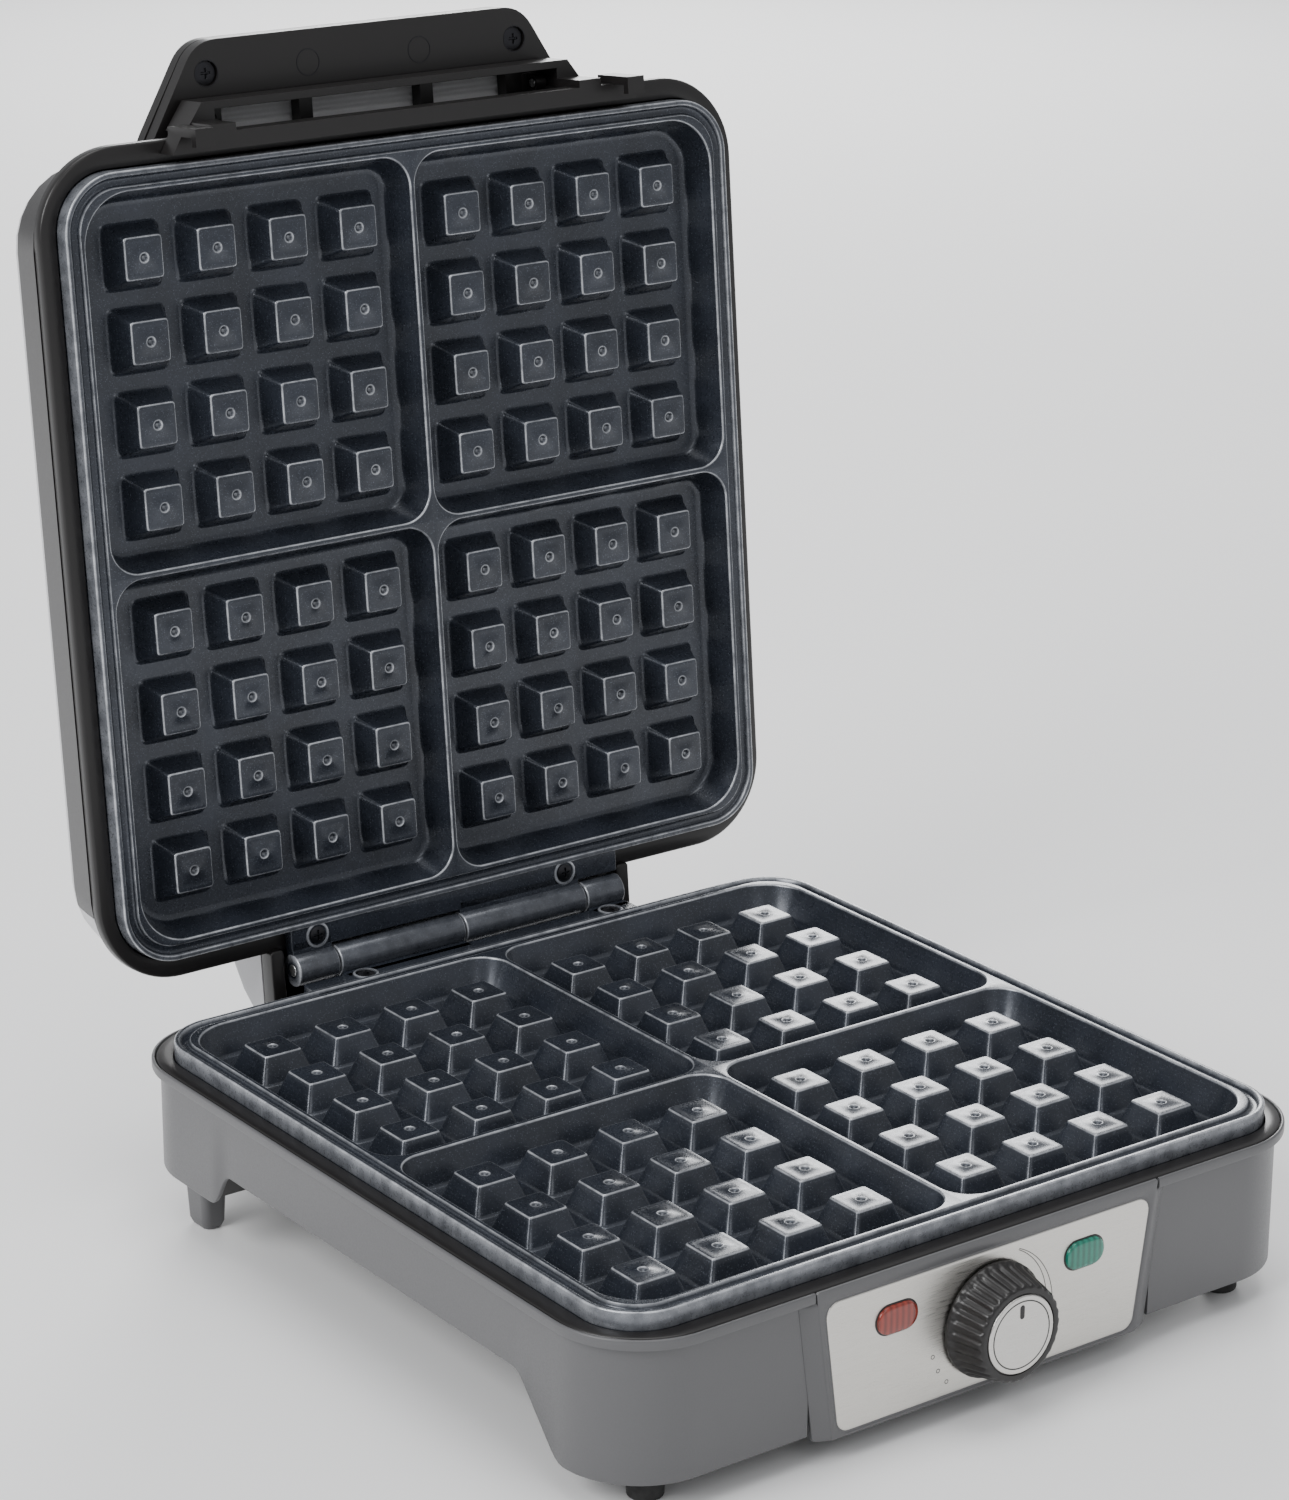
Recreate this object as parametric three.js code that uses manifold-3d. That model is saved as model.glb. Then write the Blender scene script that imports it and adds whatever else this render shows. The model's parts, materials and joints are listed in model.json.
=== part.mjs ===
// Four-waffle electric waffle maker, standing open on a table.
// Millimetres, +Z up, +X to the user's right, the control panel facing -Y.
// Every piece is drawn in the machine frame: the cooking plate's centre is x = 0, y = 0 and the
// table is z = 0. The lid's pieces are drawn closed, and their group then turns them open.
import * as THREE from 'three';
import { mergeVertices } from 'three/addons/utils/BufferGeometryUtils.js';
import Module from 'manifold-3d';

const wasm = await Module();
wasm.setup();

// ---------------------------------------------------------------- driving dimensions
// heights and clearances
const PARTING_HEIGHT = 56.0;
const RIM_GAP = 0.3;
const SEAT_GAP = 0.3;
const EDGE_GAP = 0.4;

// cooking plates
const WAFFLE_PITCH = 24.0;
const WAFFLE_ROWS = 4;
const FIRST_PYRAMID = 18.3;
const PLATE_MARGIN = 25.3;
const PLATE_HALF = FIRST_PYRAMID + WAFFLE_PITCH * (WAFFLE_ROWS - 1) + PLATE_MARGIN;
const PLATE_CORNER = 17.0;
const PLATE_THICKNESS = 12.6;
const PYRAMID_TOP_HALF = 6.1;
const PYRAMID_BASE_HALF = 8.9;
const PYRAMID_DROP = 1.9;
const POCKET_DEPTH = 9.9;
const POCKET_SLOPE = 3.2;
const DIVIDER_HALF = 0.8;
const POCKET_MARGIN = 5.9;
const POCKET_INNER_RADIUS = 9.3;
const POCKET_OUTER_RADIUS = 15.0;
const GROOVE_MARGIN = 1.4;
const GROOVE_WIDTH = 3.0;
const GROOVE_DEPTH = 1.5;

// hinge
const HINGE_SETBACK = 12.6;
const HINGE_RISE = 1.9;
const OPEN_ANGLE = 95.3;
const BARREL_RADIUS = 5.0;
const BARREL_BORE = 2.3;
const PIN_RADIUS = 2.0;
const HINGE_HALF = 60.0;
const SHORT_BARREL = 14.1;
const BARREL_SPLIT = 0.6;
const WEB_THICKNESS = 4.0;
const WEB_DROP = 0.6;
const WEB_DEPTH = 6.6;
const PLATE_SCREW_NEAR = 40.0;
const PLATE_SCREW_FAR = 51.0;
const SCREW_HEAD = 2.6;
const SCREW_SHANK = 1.5;
const SCREW_HEAD_HEIGHT = 1.4;
const SCREW_REACH = 5.4;

// housing
const CASE_OFFSET = 0.75;
const CASE_HALF_WIDTH = PLATE_HALF + 6.9;
const CASE_HALF_DEPTH = PLATE_HALF + 7.95;
const CASE_CORNER = 27.0;
const LIP_INSET = 2.5;
const LIP_WALL = 1.0;
const LIP_DROP = 4.9;
const LIP_HEIGHT = 3.0;
const HOUSING_WALL = 1.5;
const FRONT_WALL_BOTTOM = 9.0;
const REAR_WALL_BOTTOM = 17.3;
const ARCH_HEIGHT = 28.6;
const FRONT_LEG_REACH = 27.0;
const FRONT_LEG_SLOPE = 17.3;
const REAR_LEG_REACH = 46.8;
const REAR_LEG_SLOPE = 6.0;
const POST_RADIUS = 4.5;
const POST_X = CASE_HALF_WIDTH - 38.5;
const POST_INSET = 12.2;

// black frames around the plates
const FLANGE_THICKNESS = 1.6;
const LID_FLANGE_THICKNESS = 2.4;
const LID_RAIL_REACH = 18.0;
const FRAME_WALL = 0.9;
const FRAME_SKIRT_WALL = 1.9;
const LEDGE_WIDTH = 9.0;
const LEDGE_THICKNESS = 2.4;
const FRAME_FRONT = PLATE_HALF + 6.7;
const FRAME_SIDE_HEIGHT = 4.0;

// control panel
const PANEL_TOP_HALF = 59.3;
const PANEL_BOTTOM_HALF = 53.4;
const PANEL_FLANK = 4.5;
const PANEL_BOTTOM = 7.0;
const PANEL_BACK = 4.8;
const FASCIA_MARGIN_SIDE = 2.3;
const FASCIA_MARGIN_TOP = 4.2;
const FASCIA_MARGIN_BOTTOM = 1.7;
const FASCIA_THICKNESS = 0.7;
const FASCIA_CORNER = 4.0;
const FASCIA_LINE = 0.5;
const LENS_X = 32.6;
const LENS_HEIGHT = 36.7;
const LENS_LENGTH = 13.4;
const LENS_WIDTH = 8.0;
const LENS_PROUD = 1.3;
const LAMP_RADIUS = 2.6;
const LAMP_LENGTH = 12.0;
const KNOB_HEIGHT = 26.9;
const KNOB_BACK_RADIUS = 16.4;
const KNOB_FACE_RADIUS = 13.6;
const KNOB_LENGTH = 11.6;
const KNOB_GAP = 0.6;
const KNOB_RECESS = 0.8;
const KNOB_CAP_SEAT = 0.5;
const SOCKET_FLOOR = 4.5;
const KNOB_CAP_RADIUS = 11.2;
const KNOB_CAP_THICKNESS = 0.9;
const SHAFT_RADIUS = 3.0;
const THERMOSTAT_SIZE = [26.0, 24.0, 13.8];
const THERMOSTAT_SETBACK = 10.8;
const BRACKET_THICKNESS = 1.2;
const BRACKET_SIZE = [42.0, 22.0];
const BRACKET_POST_RADIUS = 2.5;

// underside
const COVER_THICKNESS = 2.0;
const COVER_FRONT_RECESS = 2.5;
const COVER_ARCH_RECESS = 1.4;
const COVER_REAR_RECESS = 2.2;
const FRONT_FOOT = { x: CASE_HALF_WIDTH - 21.5, inset: 14.3, radius: 5.5, stem: 2.0, stemReach: 4.0 };
const REAR_FOOT = { x: CASE_HALF_WIDTH - 13.0, inset: 23.8, width: 9.0, depth: 12.0, taper: 0.8 };
const COVER_SCREW = { head: 3.0, headHeight: 1.6, shank: 1.5, reach: 11.0 };

// heating and wiring
const HEATER_RADIUS = 3.2;
const HEATER_HALF = PLATE_HALF - 41.6;
const HEATER_TAIL = 12.0;
const REFLECTOR_HALF = PLATE_HALF - 11.6;
const REFLECTOR_SHEET = 0.8;
const REFLECTOR_RIM = 3.4;
const REFLECTOR_CORNER = 12.0;
const FUSE_RADIUS = 2.5;
const FUSE_LENGTH = 16.0;
const LEAD_RADIUS = 1.3;
const LEAD_X = 6.0;
const TERMINAL_SIZE = [32.0, 14.0, 11.0];
const TERMINAL_REAR_GAP = 13.8;
const GLAND_X = CASE_HALF_WIDTH - 52.5;
const GLAND = { x: GLAND_X, height: 31.0, bore: 3.6, body: 5.5, tip: 4.3, flange: 7.5, reach: 9.0 };

// lid
const LID_HALF_WIDTH = PLATE_HALF + 5.7;
const LID_FRONT = PLATE_HALF + 3.2;
const LID_REAR = PLATE_HALF + 3.9;
const LID_CORNER = 24.0;
const LID_WALL = 1.6;
const LID_SKIRT_HEIGHT = 14.5;
const LID_SKIRT_TAPER = 2.6;
const LID_DOME = [[3.7, 1.4], [3.4, 3.4], [2.4, 5.6], [0.8, 7.5]];
const LID_REAR_SEAM = LID_REAR - 19.5;
const HOOD_HALF = 66.2;
const HOOD_END_WALL = 1.8;
const HOOD_SHEET = 2.0;
const CHEEK_WALL = 4.6;
const HOOD_BEAM = 3.0;
const HOOD_REACH = 18.2;

// handle
const HANDLE_DROP = 21.9;
const HANDLE_REACH = 28.4;
const HANDLE_FRONT_HALF = 57.0;
const HANDLE_REAR_HALF = 76.5;
const HANDLE_LOWER = 4.6;
const HANDLE_UPPER = 5.1;
const HANDLE_CORNER = 7.0;
const HANDLE_SCREW = { x: 54.0, inset: 9.6, head: 3.4, headHeight: 1.4, shank: 1.6, reach: 6.0 };
const WINDOW_REAR = 1.0;
const WINDOW_DEPTH = 7.4;
const WINDOW_EDGES = [[-50.0, -23.5], [-19.0, 19.0], [23.5, 50.0]];
const GRIP_MARGIN = 1.0;
const GRIP_THICKNESS = 1.8;
const EAR = { near: 56.0, far: 59.5, half: 2.6, drop: 2.7 };

// latch
const LATCH_PIVOT_OUT = 5.5;
const LATCH_PIVOT_UP = 16.7;
const LATCH_FRONT_HALF = 64.0;
const LATCH_REAR_HALF = 70.0;
const LATCH_BORE = 1.8;
const LATCH_PIN = 1.5;
const LATCH_PIN_REACH = 5.0;
const LATCH_RISE = 3.2;
const LATCH_HEIGHT = 11.2;
const LATCH_BAR_DEPTH = 2.2;
const LATCH_OUT = 6.7;
const LATCH_BLOCK_REAR = 1.3;
const LATCH_ARM_WIDTH = 8.0;
const LATCH_ARM_DEPTH = 3.0;
const STRIP_FRONT_HALF = 78.0;
const STRIP_REAR_HALF = 81.0;
const STRIP_DEPTH = 5.0;
const STRIP_HEIGHT = 7.4;
const STRIP_LAP = 0.8;
const CLAW_CLEARANCE = 0.4;
const CLAW_DEPTH = 2.6;
const CLAW_WIDTH = 6.0;
const CLAW_THICKNESS = 2.3;
const CLAW_GAP = 0.4;

// tessellation
const CORNER_STEPS = 7;
const ROUND_STEPS = 24;
const WELD = 1e-4;

// how far a cutter runs past a face, or a joined piece into its neighbour, and a cutter's reach
const PASS = 1.0;
const DEEP_PASS = 5.0;
const FAR = 200.0;

// ---------------------------------------------------------------- derived places
const RIM_LOW = PARTING_HEIGHT;
const RIM_HIGH = PARTING_HEIGHT + RIM_GAP;
const PLATE_UNDERSIDE = RIM_LOW - PLATE_THICKNESS;
const PLATE_BACK = RIM_HIGH + PLATE_THICKNESS;
const AXIS_Y = PLATE_HALF + HINGE_SETBACK;
const AXIS_Z = PARTING_HEIGHT + HINGE_RISE;
const CASE_FRONT = CASE_OFFSET - CASE_HALF_DEPTH;
const CASE_REAR = CASE_OFFSET + CASE_HALF_DEPTH;
const CASE_TOP = RIM_LOW - LIP_DROP;
const WALL_FRONT = CASE_FRONT + LIP_INSET;
const WALL_REAR = CASE_REAR - LIP_INSET;
const LID_BASE = RIM_HIGH + LIP_DROP;
const SKIRT_BOTTOM = LID_BASE + FRAME_SIDE_HEIGHT + SEAT_GAP;
const SKIRT_TOP = SKIRT_BOTTOM + LID_SKIRT_HEIGHT;
const HANDLE_FACE = RIM_HIGH + HANDLE_DROP;

// ---------------------------------------------------------------- geometry helpers
// Adds a weld and turns a three.js geometry into a solid for joining and cutting.
function toSolid(geometry) {
  const bare = geometry.clone();
  bare.deleteAttribute('normal');
  bare.deleteAttribute('uv');
  const welded = mergeVertices(bare, WELD);
  const vertProperties = new Float32Array(welded.attributes.position.array);
  const triVerts = new Uint32Array(welded.index.array);
  return new wasm.Manifold(new wasm.Mesh({ numProp: 3, vertProperties, triVerts }));
}

// Gives back a three.js geometry for a finished solid.
function toGeometry(solid) {
  const mesh = solid.getMesh();
  const geometry = new THREE.BufferGeometry();
  geometry.setAttribute('position', new THREE.BufferAttribute(mesh.vertProperties, 3));
  geometry.setIndex(new THREE.BufferAttribute(mesh.triVerts, 1));
  geometry.computeVertexNormals();
  return geometry;
}

// A rectangle with round corners, anticlockwise; radii may differ per corner
// (right rear, left rear, left front, right front).
function roundedBox(left, right, front, rear, radii) {
  const corners = [
    [right, rear, -1, -1, 0],
    [left, rear, 1, -1, 1],
    [left, front, 1, 1, 2],
    [right, front, -1, 1, 3],
  ];
  const points = [];
  for (const [x, y, inwardX, inwardY, quarter] of corners) {
    const radius = Array.isArray(radii) ? radii[quarter] : radii;
    for (let step = 0; step <= CORNER_STEPS; step += 1) {
      const angle = (quarter + step / CORNER_STEPS) * Math.PI / 2;
      const cx = x + inwardX * radius;
      const cy = y + inwardY * radius;
      points.push(new THREE.Vector2(cx + radius * Math.cos(angle), cy + radius * Math.sin(angle)));
    }
  }
  return points;
}

const centred = (halfX, halfY, radius, offset = 0) =>
  roundedBox(-halfX, halfX, offset - halfY, offset + halfY, radius);

// Rounds the corners of any convex polygon with quadratic curves.
function softPolygon(corners, radius) {
  const points = [];
  corners.forEach(([x, y], index) => {
    const corner = new THREE.Vector2(x, y);
    const before = new THREE.Vector2(...corners[(index + corners.length - 1) % corners.length]);
    const after = new THREE.Vector2(...corners[(index + 1) % corners.length]);
    const start = before.sub(corner).setLength(radius).add(corner);
    const end = after.sub(corner).setLength(radius).add(corner);
    points.push(...new THREE.QuadraticBezierCurve(start, corner, end).getPoints(CORNER_STEPS));
  });
  return points;
}

const flat = (point, level) => new THREE.Vector3(point.x, point.y, level);
const upright = (point, level) => new THREE.Vector3(point.x, level, point.y);

// Skins a stack of outlines with the same number of points and closes both ends.
function loft(sections, place = flat) {
  const count = sections[0].points.length;
  const vertices = [];
  for (const { points, level } of sections) {
    for (const point of points) {
      vertices.push(place(point, level));
    }
  }
  const triangles = [];
  for (let row = 0; row < sections.length - 1; row += 1) {
    for (let column = 0; column < count; column += 1) {
      const next = (column + 1) % count;
      const a = row * count + column;
      const b = row * count + next;
      triangles.push([a, b, b + count], [a, b + count, a + count]);
    }
  }
  const last = (sections.length - 1) * count;
  for (const [a, b, c] of THREE.ShapeUtils.triangulateShape(sections[0].points, [])) {
    triangles.push([c, b, a]);
  }
  for (const [a, b, c] of THREE.ShapeUtils.triangulateShape(sections.at(-1).points, [])) {
    triangles.push([a + last, b + last, c + last]);
  }
  let volume = 0;
  for (const [a, b, c] of triangles) {
    volume += vertices[a].dot(vertices[b].clone().cross(vertices[c]));
  }
  const ordered = volume < 0 ? triangles.map(([a, b, c]) => [a, c, b]) : triangles;
  const geometry = new THREE.BufferGeometry().setFromPoints(vertices);
  geometry.setIndex(ordered.flat());
  return toSolid(geometry);
}

const prism = (points, bottom, top, place = flat) =>
  loft([{ points, level: bottom }, { points, level: top }], place);

const ring = (outer, inner, bottom, top) =>
  prism(outer, bottom, top).subtract(prism(inner, bottom - PASS, top + PASS));

const block = (left, right, front, rear, bottom, top) => {
  const geometry = new THREE.BoxGeometry(right - left, rear - front, top - bottom);
  geometry.translate((left + right) / 2, (front + rear) / 2, (bottom + top) / 2);
  return toSolid(geometry);
};

// Extrudes a (y, z) profile from one x to another.
function alongX(profile, left, right) {
  const shape = new THREE.Shape(profile.map(([y, z]) => new THREE.Vector2(y, z)));
  const geometry = new THREE.ExtrudeGeometry(shape, { depth: right - left, bevelEnabled: false });
  const turn = new THREE.Matrix4();
  turn.set(0, 0, 1, left, 1, 0, 0, 0, 0, 1, 0, 0, 0, 0, 0, 1);
  return toSolid(geometry.applyMatrix4(turn));
}

// A rod or cone whose axis runs along x, y or z from start to end.
function rod(axis, centre, start, end, radius, endRadius = radius, segments = ROUND_STEPS) {
  const geometry = new THREE.CylinderGeometry(endRadius, radius, end - start, segments);
  if (axis === 'x') geometry.rotateZ(-Math.PI / 2);
  if (axis === 'z') geometry.rotateX(Math.PI / 2);
  const middle = (start + end) / 2;
  const places = {
    x: [middle, centre[0], centre[1]],
    y: [centre[0], middle, centre[1]],
    z: [centre[0], centre[1], middle],
  };
  geometry.translate(...places[axis]);
  return toSolid(geometry);
}

// A round bar swept along a smooth curve through the given points.
function sweep(points, radius, steps, sides) {
  const curve = new THREE.CatmullRomCurve3(points.map((p) => new THREE.Vector3(...p)), false,
    'catmullrom', 0.2);
  const section = new THREE.Shape();
  section.absarc(0, 0, radius, 0, Math.PI * 2);
  const geometry = new THREE.ExtrudeGeometry(section, {
    steps,
    curveSegments: sides,
    extrudePath: curve,
  });
  return toSolid(geometry);
}

const union = (solids) => solids.reduce((whole, solid) => whole.add(solid));

const material = (color, roughness, metalness) =>
  new THREE.MeshStandardMaterial({ color, roughness, metalness });

const FINISHES = {
  greySatin: () => material(0x8a8a8d, 0.5, 0.1),
  blackPlastic: () => material(0x1c1a1a, 0.45, 0.0),
  coatedCast: () => material(0x3b414b, 0.5, 0.35),
  silver: () => material(0xb9b9bb, 0.35, 0.6),
  steel: () => material(0xc8c6c2, 0.3, 0.9),
  rubber: () => material(0x141414, 0.9, 0.0),
  redLens: () => material(0xa83a2c, 0.2, 0.0),
  greenLens: () => material(0x16967e, 0.2, 0.0),
  sheetMetal: () => material(0x9fa2a6, 0.4, 0.9),
  heaterSheath: () => material(0x5a5650, 0.6, 0.6),
  ceramic: () => material(0xd8d2c4, 0.7, 0.0),
  blackScrew: () => material(0x202022, 0.4, 0.7),
};

function addPiece(group, name, solid, finish) {
  const mesh = new THREE.Mesh(toGeometry(solid), FINISHES[finish]());
  mesh.name = name;
  group.add(mesh);
}

// ---------------------------------------------------------------- cooking plates
// One plate with its pockets up and its rim plane at z = 0; inset 0 is the pocket's rim.
function pocketOutline(inset, signX, signY) {
  const near = DIVIDER_HALF + inset;
  const far = PLATE_HALF - POCKET_MARGIN - inset;
  const inner = POCKET_INNER_RADIUS - inset;
  const outer = POCKET_OUTER_RADIUS - inset;
  const left = signX > 0 ? near : -far;
  const right = signX > 0 ? far : -near;
  const front = signY > 0 ? near : -far;
  const rear = signY > 0 ? far : -near;
  const quarterSigns = [[1, 1], [-1, 1], [-1, -1], [1, -1]];
  const radii = quarterSigns.map(([x, y]) => (x === signX && y === signY ? outer : inner));
  return roundedBox(left, right, front, rear, radii);
}

function pyramid(x, y) {
  const sink = 0.4;
  const slope = (PYRAMID_BASE_HALF - PYRAMID_TOP_HALF) / (POCKET_DEPTH - PYRAMID_DROP);
  const square = (half) => [
    new THREE.Vector2(x + half, y - half),
    new THREE.Vector2(x + half, y + half),
    new THREE.Vector2(x - half, y + half),
    new THREE.Vector2(x - half, y - half),
  ];
  return loft([
    { points: square(PYRAMID_BASE_HALF + slope * sink), level: -POCKET_DEPTH - sink },
    { points: square(PYRAMID_TOP_HALF), level: -PYRAMID_DROP },
  ]);
}

function barrelRanges() {
  const shortStart = HINGE_HALF - SHORT_BARREL;
  return [[-shortStart + BARREL_SPLIT, -BARREL_SPLIT / 2], [shortStart, HINGE_HALF]];
}

function plateSolid(axisHeight) {
  let plate = prism(centred(PLATE_HALF, PLATE_HALF, PLATE_CORNER), -PLATE_THICKNESS, 0);
  for (const signX of [-1, 1]) {
    for (const signY of [-1, 1]) {
      plate = plate.subtract(loft([
        { points: pocketOutline(POCKET_SLOPE, signX, signY), level: -POCKET_DEPTH },
        {
          points: pocketOutline(-POCKET_SLOPE * PASS / POCKET_DEPTH, signX, signY),
          level: PASS,
        },
      ]));
      for (let row = 0; row < WAFFLE_ROWS; row += 1) {
        for (let column = 0; column < WAFFLE_ROWS; column += 1) {
          const x = signX * (FIRST_PYRAMID + column * WAFFLE_PITCH);
          const y = signY * (FIRST_PYRAMID + row * WAFFLE_PITCH);
          plate = plate.add(pyramid(x, y));
        }
      }
    }
  }
  const grooveOuter = PLATE_HALF - GROOVE_MARGIN;
  const grooveInner = grooveOuter - GROOVE_WIDTH;
  plate = plate.subtract(ring(
    centred(grooveOuter, grooveOuter, PLATE_CORNER - GROOVE_MARGIN),
    centred(grooveInner, grooveInner, PLATE_CORNER - GROOVE_MARGIN - GROOVE_WIDTH),
    -GROOVE_DEPTH,
    PASS,
  ));
  const webBottom = -WEB_DROP - WEB_THICKNESS;
  const webEdge = PLATE_HALF + WEB_DEPTH;
  const inside = PLATE_HALF - PASS;
  plate = plate.add(block(-HINGE_HALF, HINGE_HALF, inside, webEdge, webBottom, -WEB_DROP));
  for (const [left, right] of barrelRanges()) {
    const web = block(left, right, webEdge - PASS, AXIS_Y, webBottom, -WEB_DROP);
    plate = plate.add(web).add(rod('x', [AXIS_Y, axisHeight], left, right, BARREL_RADIUS));
    plate = plate.subtract(rod('x', [AXIS_Y, axisHeight], left - PASS, right + PASS, BARREL_BORE));
  }
  for (const x of [-PLATE_SCREW_NEAR, PLATE_SCREW_FAR]) {
    const centre = [x, plateScrewY()];
    const head = rod('z', centre, screwSeat(), PASS, SCREW_HEAD + SEAT_GAP);
    const hole = rod('z', centre, webBottom - PASS, PASS, SCREW_SHANK + SEAT_GAP);
    plate = plate.subtract(head).subtract(hole);
  }
  return plate;
}

const plateScrewY = () => PLATE_HALF + WEB_DEPTH / 2 - 0.3;
const screwSeat = () => -WEB_DROP - SCREW_HEAD_HEIGHT;

function plateScrew(x) {
  const centre = [x, plateScrewY()];
  const seat = screwSeat() + SEAT_GAP;
  const head = rod('z', centre, seat, seat + SCREW_HEAD_HEIGHT, SCREW_HEAD, SCREW_HEAD * 0.9);
  return head.add(rod('z', centre, seat - SCREW_REACH, seat + 0.2, SCREW_SHANK, SCREW_SHANK, 12));
}

// ---------------------------------------------------------------- base
const base = new THREE.Group();

function caseOutline(inset) {
  return centred(CASE_HALF_WIDTH - inset, CASE_HALF_DEPTH - inset, CASE_CORNER - inset, CASE_OFFSET);
}

// Underside line of the side walls, from the front leg over the arch to the rear leg.
const legLine = () => [
  [CASE_FRONT + LIP_INSET + FRONT_LEG_REACH, FRONT_WALL_BOTTOM],
  [CASE_FRONT + LIP_INSET + FRONT_LEG_REACH + FRONT_LEG_SLOPE, ARCH_HEIGHT],
  [WALL_REAR - REAR_LEG_REACH - REAR_LEG_SLOPE, ARCH_HEIGHT],
  [WALL_REAR - REAR_LEG_REACH, REAR_WALL_BOTTOM],
];

function housingSolid() {
  const flangeBottom = CASE_TOP - FLANGE_THICKNESS;
  const wall = ring(caseOutline(LIP_INSET), caseOutline(LIP_INSET + HOUSING_WALL),
    FRONT_WALL_BOTTOM, flangeBottom - SEAT_GAP);
  const lip = ring(caseOutline(0), caseOutline(LIP_WALL), CASE_TOP - LIP_HEIGHT, CASE_TOP);
  const shelf = ring(caseOutline(0), caseOutline(LIP_INSET + HOUSING_WALL),
    CASE_TOP - LIP_HEIGHT, flangeBottom - SEAT_GAP);
  let housing = union([wall, lip, shelf]);
  const cut = [
    [legLine()[0][0], -FAR],
    ...legLine(),
    [CASE_REAR + FAR, REAR_WALL_BOTTOM],
    [CASE_REAR + FAR, -FAR],
  ];
  housing = housing.subtract(alongX(cut, -FAR, FAR));
  const opening = PANEL_TOP_HALF + SEAT_GAP;
  housing = housing.subtract(block(-opening, opening, -FAR,
    WALL_FRONT + HOUSING_WALL + PASS, 0, FAR));
  for (const side of [-1, 1]) {
    const x = side * POST_X;
    const frontY = WALL_FRONT + POST_INSET;
    const rearY = WALL_REAR - POST_INSET;
    const posts = [
      [frontY, WALL_FRONT + 1.0, frontCoverTop() + SEAT_GAP],
      [rearY, WALL_REAR - 1.0, rearCoverTop() + SEAT_GAP],
    ];
    for (const [y, wallY, bottom] of posts) {
      const top = Math.min(bottom + 20.0, ledgeUnderside() - SEAT_GAP);
      const rib = block(x - 1, x + 1, Math.min(y, wallY), Math.max(y, wallY), bottom, top);
      housing = housing.add(rod('z', [x, y], bottom, top, POST_RADIUS)).add(rib);
      const bore = COVER_SCREW.shank + SEAT_GAP;
      housing = housing.subtract(rod('z', [x, y], bottom - PASS, bottom + COVER_SCREW.reach, bore));
    }
  }
  return housing.subtract(rod('y', [GLAND.x, GLAND.height], WALL_REAR - 6, WALL_REAR + 6,
    GLAND.body + SEAT_GAP));
}

const ledgeUnderside = () => PLATE_UNDERSIDE - SEAT_GAP - LEDGE_THICKNESS;
const frontCoverTop = () => FRONT_WALL_BOTTOM + COVER_FRONT_RECESS + COVER_THICKNESS;
const archCoverTop = () => ARCH_HEIGHT + COVER_ARCH_RECESS + COVER_THICKNESS;
const rearCoverTop = () => REAR_WALL_BOTTOM + COVER_REAR_RECESS + COVER_THICKNESS;

function bottomCoverSolid() {
  const [frontFoot, frontArch, rearArch, rearFoot] = legLine();
  const under = [
    [CASE_FRONT, FRONT_WALL_BOTTOM + COVER_FRONT_RECESS],
    [frontFoot[0], FRONT_WALL_BOTTOM + COVER_FRONT_RECESS],
    [frontArch[0], ARCH_HEIGHT + COVER_ARCH_RECESS],
    [rearArch[0], ARCH_HEIGHT + COVER_ARCH_RECESS],
    [rearFoot[0], REAR_WALL_BOTTOM + COVER_REAR_RECESS],
    [CASE_REAR, REAR_WALL_BOTTOM + COVER_REAR_RECESS],
  ];
  const over = under.map(([y, z]) => [y, z + COVER_THICKNESS]).reverse();
  const sheet = alongX([...under, ...over], -CASE_HALF_WIDTH, CASE_HALF_WIDTH);
  const inset = LIP_INSET + HOUSING_WALL + EDGE_GAP;
  const frontEdge = CASE_FRONT + PANEL_BACK + EDGE_GAP;
  let cover = sheet.intersect(prism(caseOutline(inset), 0, PARTING_HEIGHT));
  cover = cover.subtract(block(-CASE_HALF_WIDTH, CASE_HALF_WIDTH, CASE_FRONT, frontEdge, 0,
    PARTING_HEIGHT));
  for (const [x, y] of coverScrewPlaces()) {
    cover = cover.subtract(rod('z', [x, y], 0, PARTING_HEIGHT, COVER_SCREW.shank + SEAT_GAP));
  }
  for (const side of [-1, 1]) {
    const centre = [side * FRONT_FOOT.x, WALL_FRONT + FRONT_FOOT.inset];
    cover = cover.subtract(rod('z', centre, 0, PARTING_HEIGHT, FRONT_FOOT.stem + SEAT_GAP));
  }
  return cover;
}

function coverScrewPlaces() {
  const frontY = WALL_FRONT + POST_INSET;
  const rearY = WALL_REAR - POST_INSET;
  return [[-POST_X, frontY], [POST_X, frontY], [-POST_X, rearY], [POST_X, rearY]];
}

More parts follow.
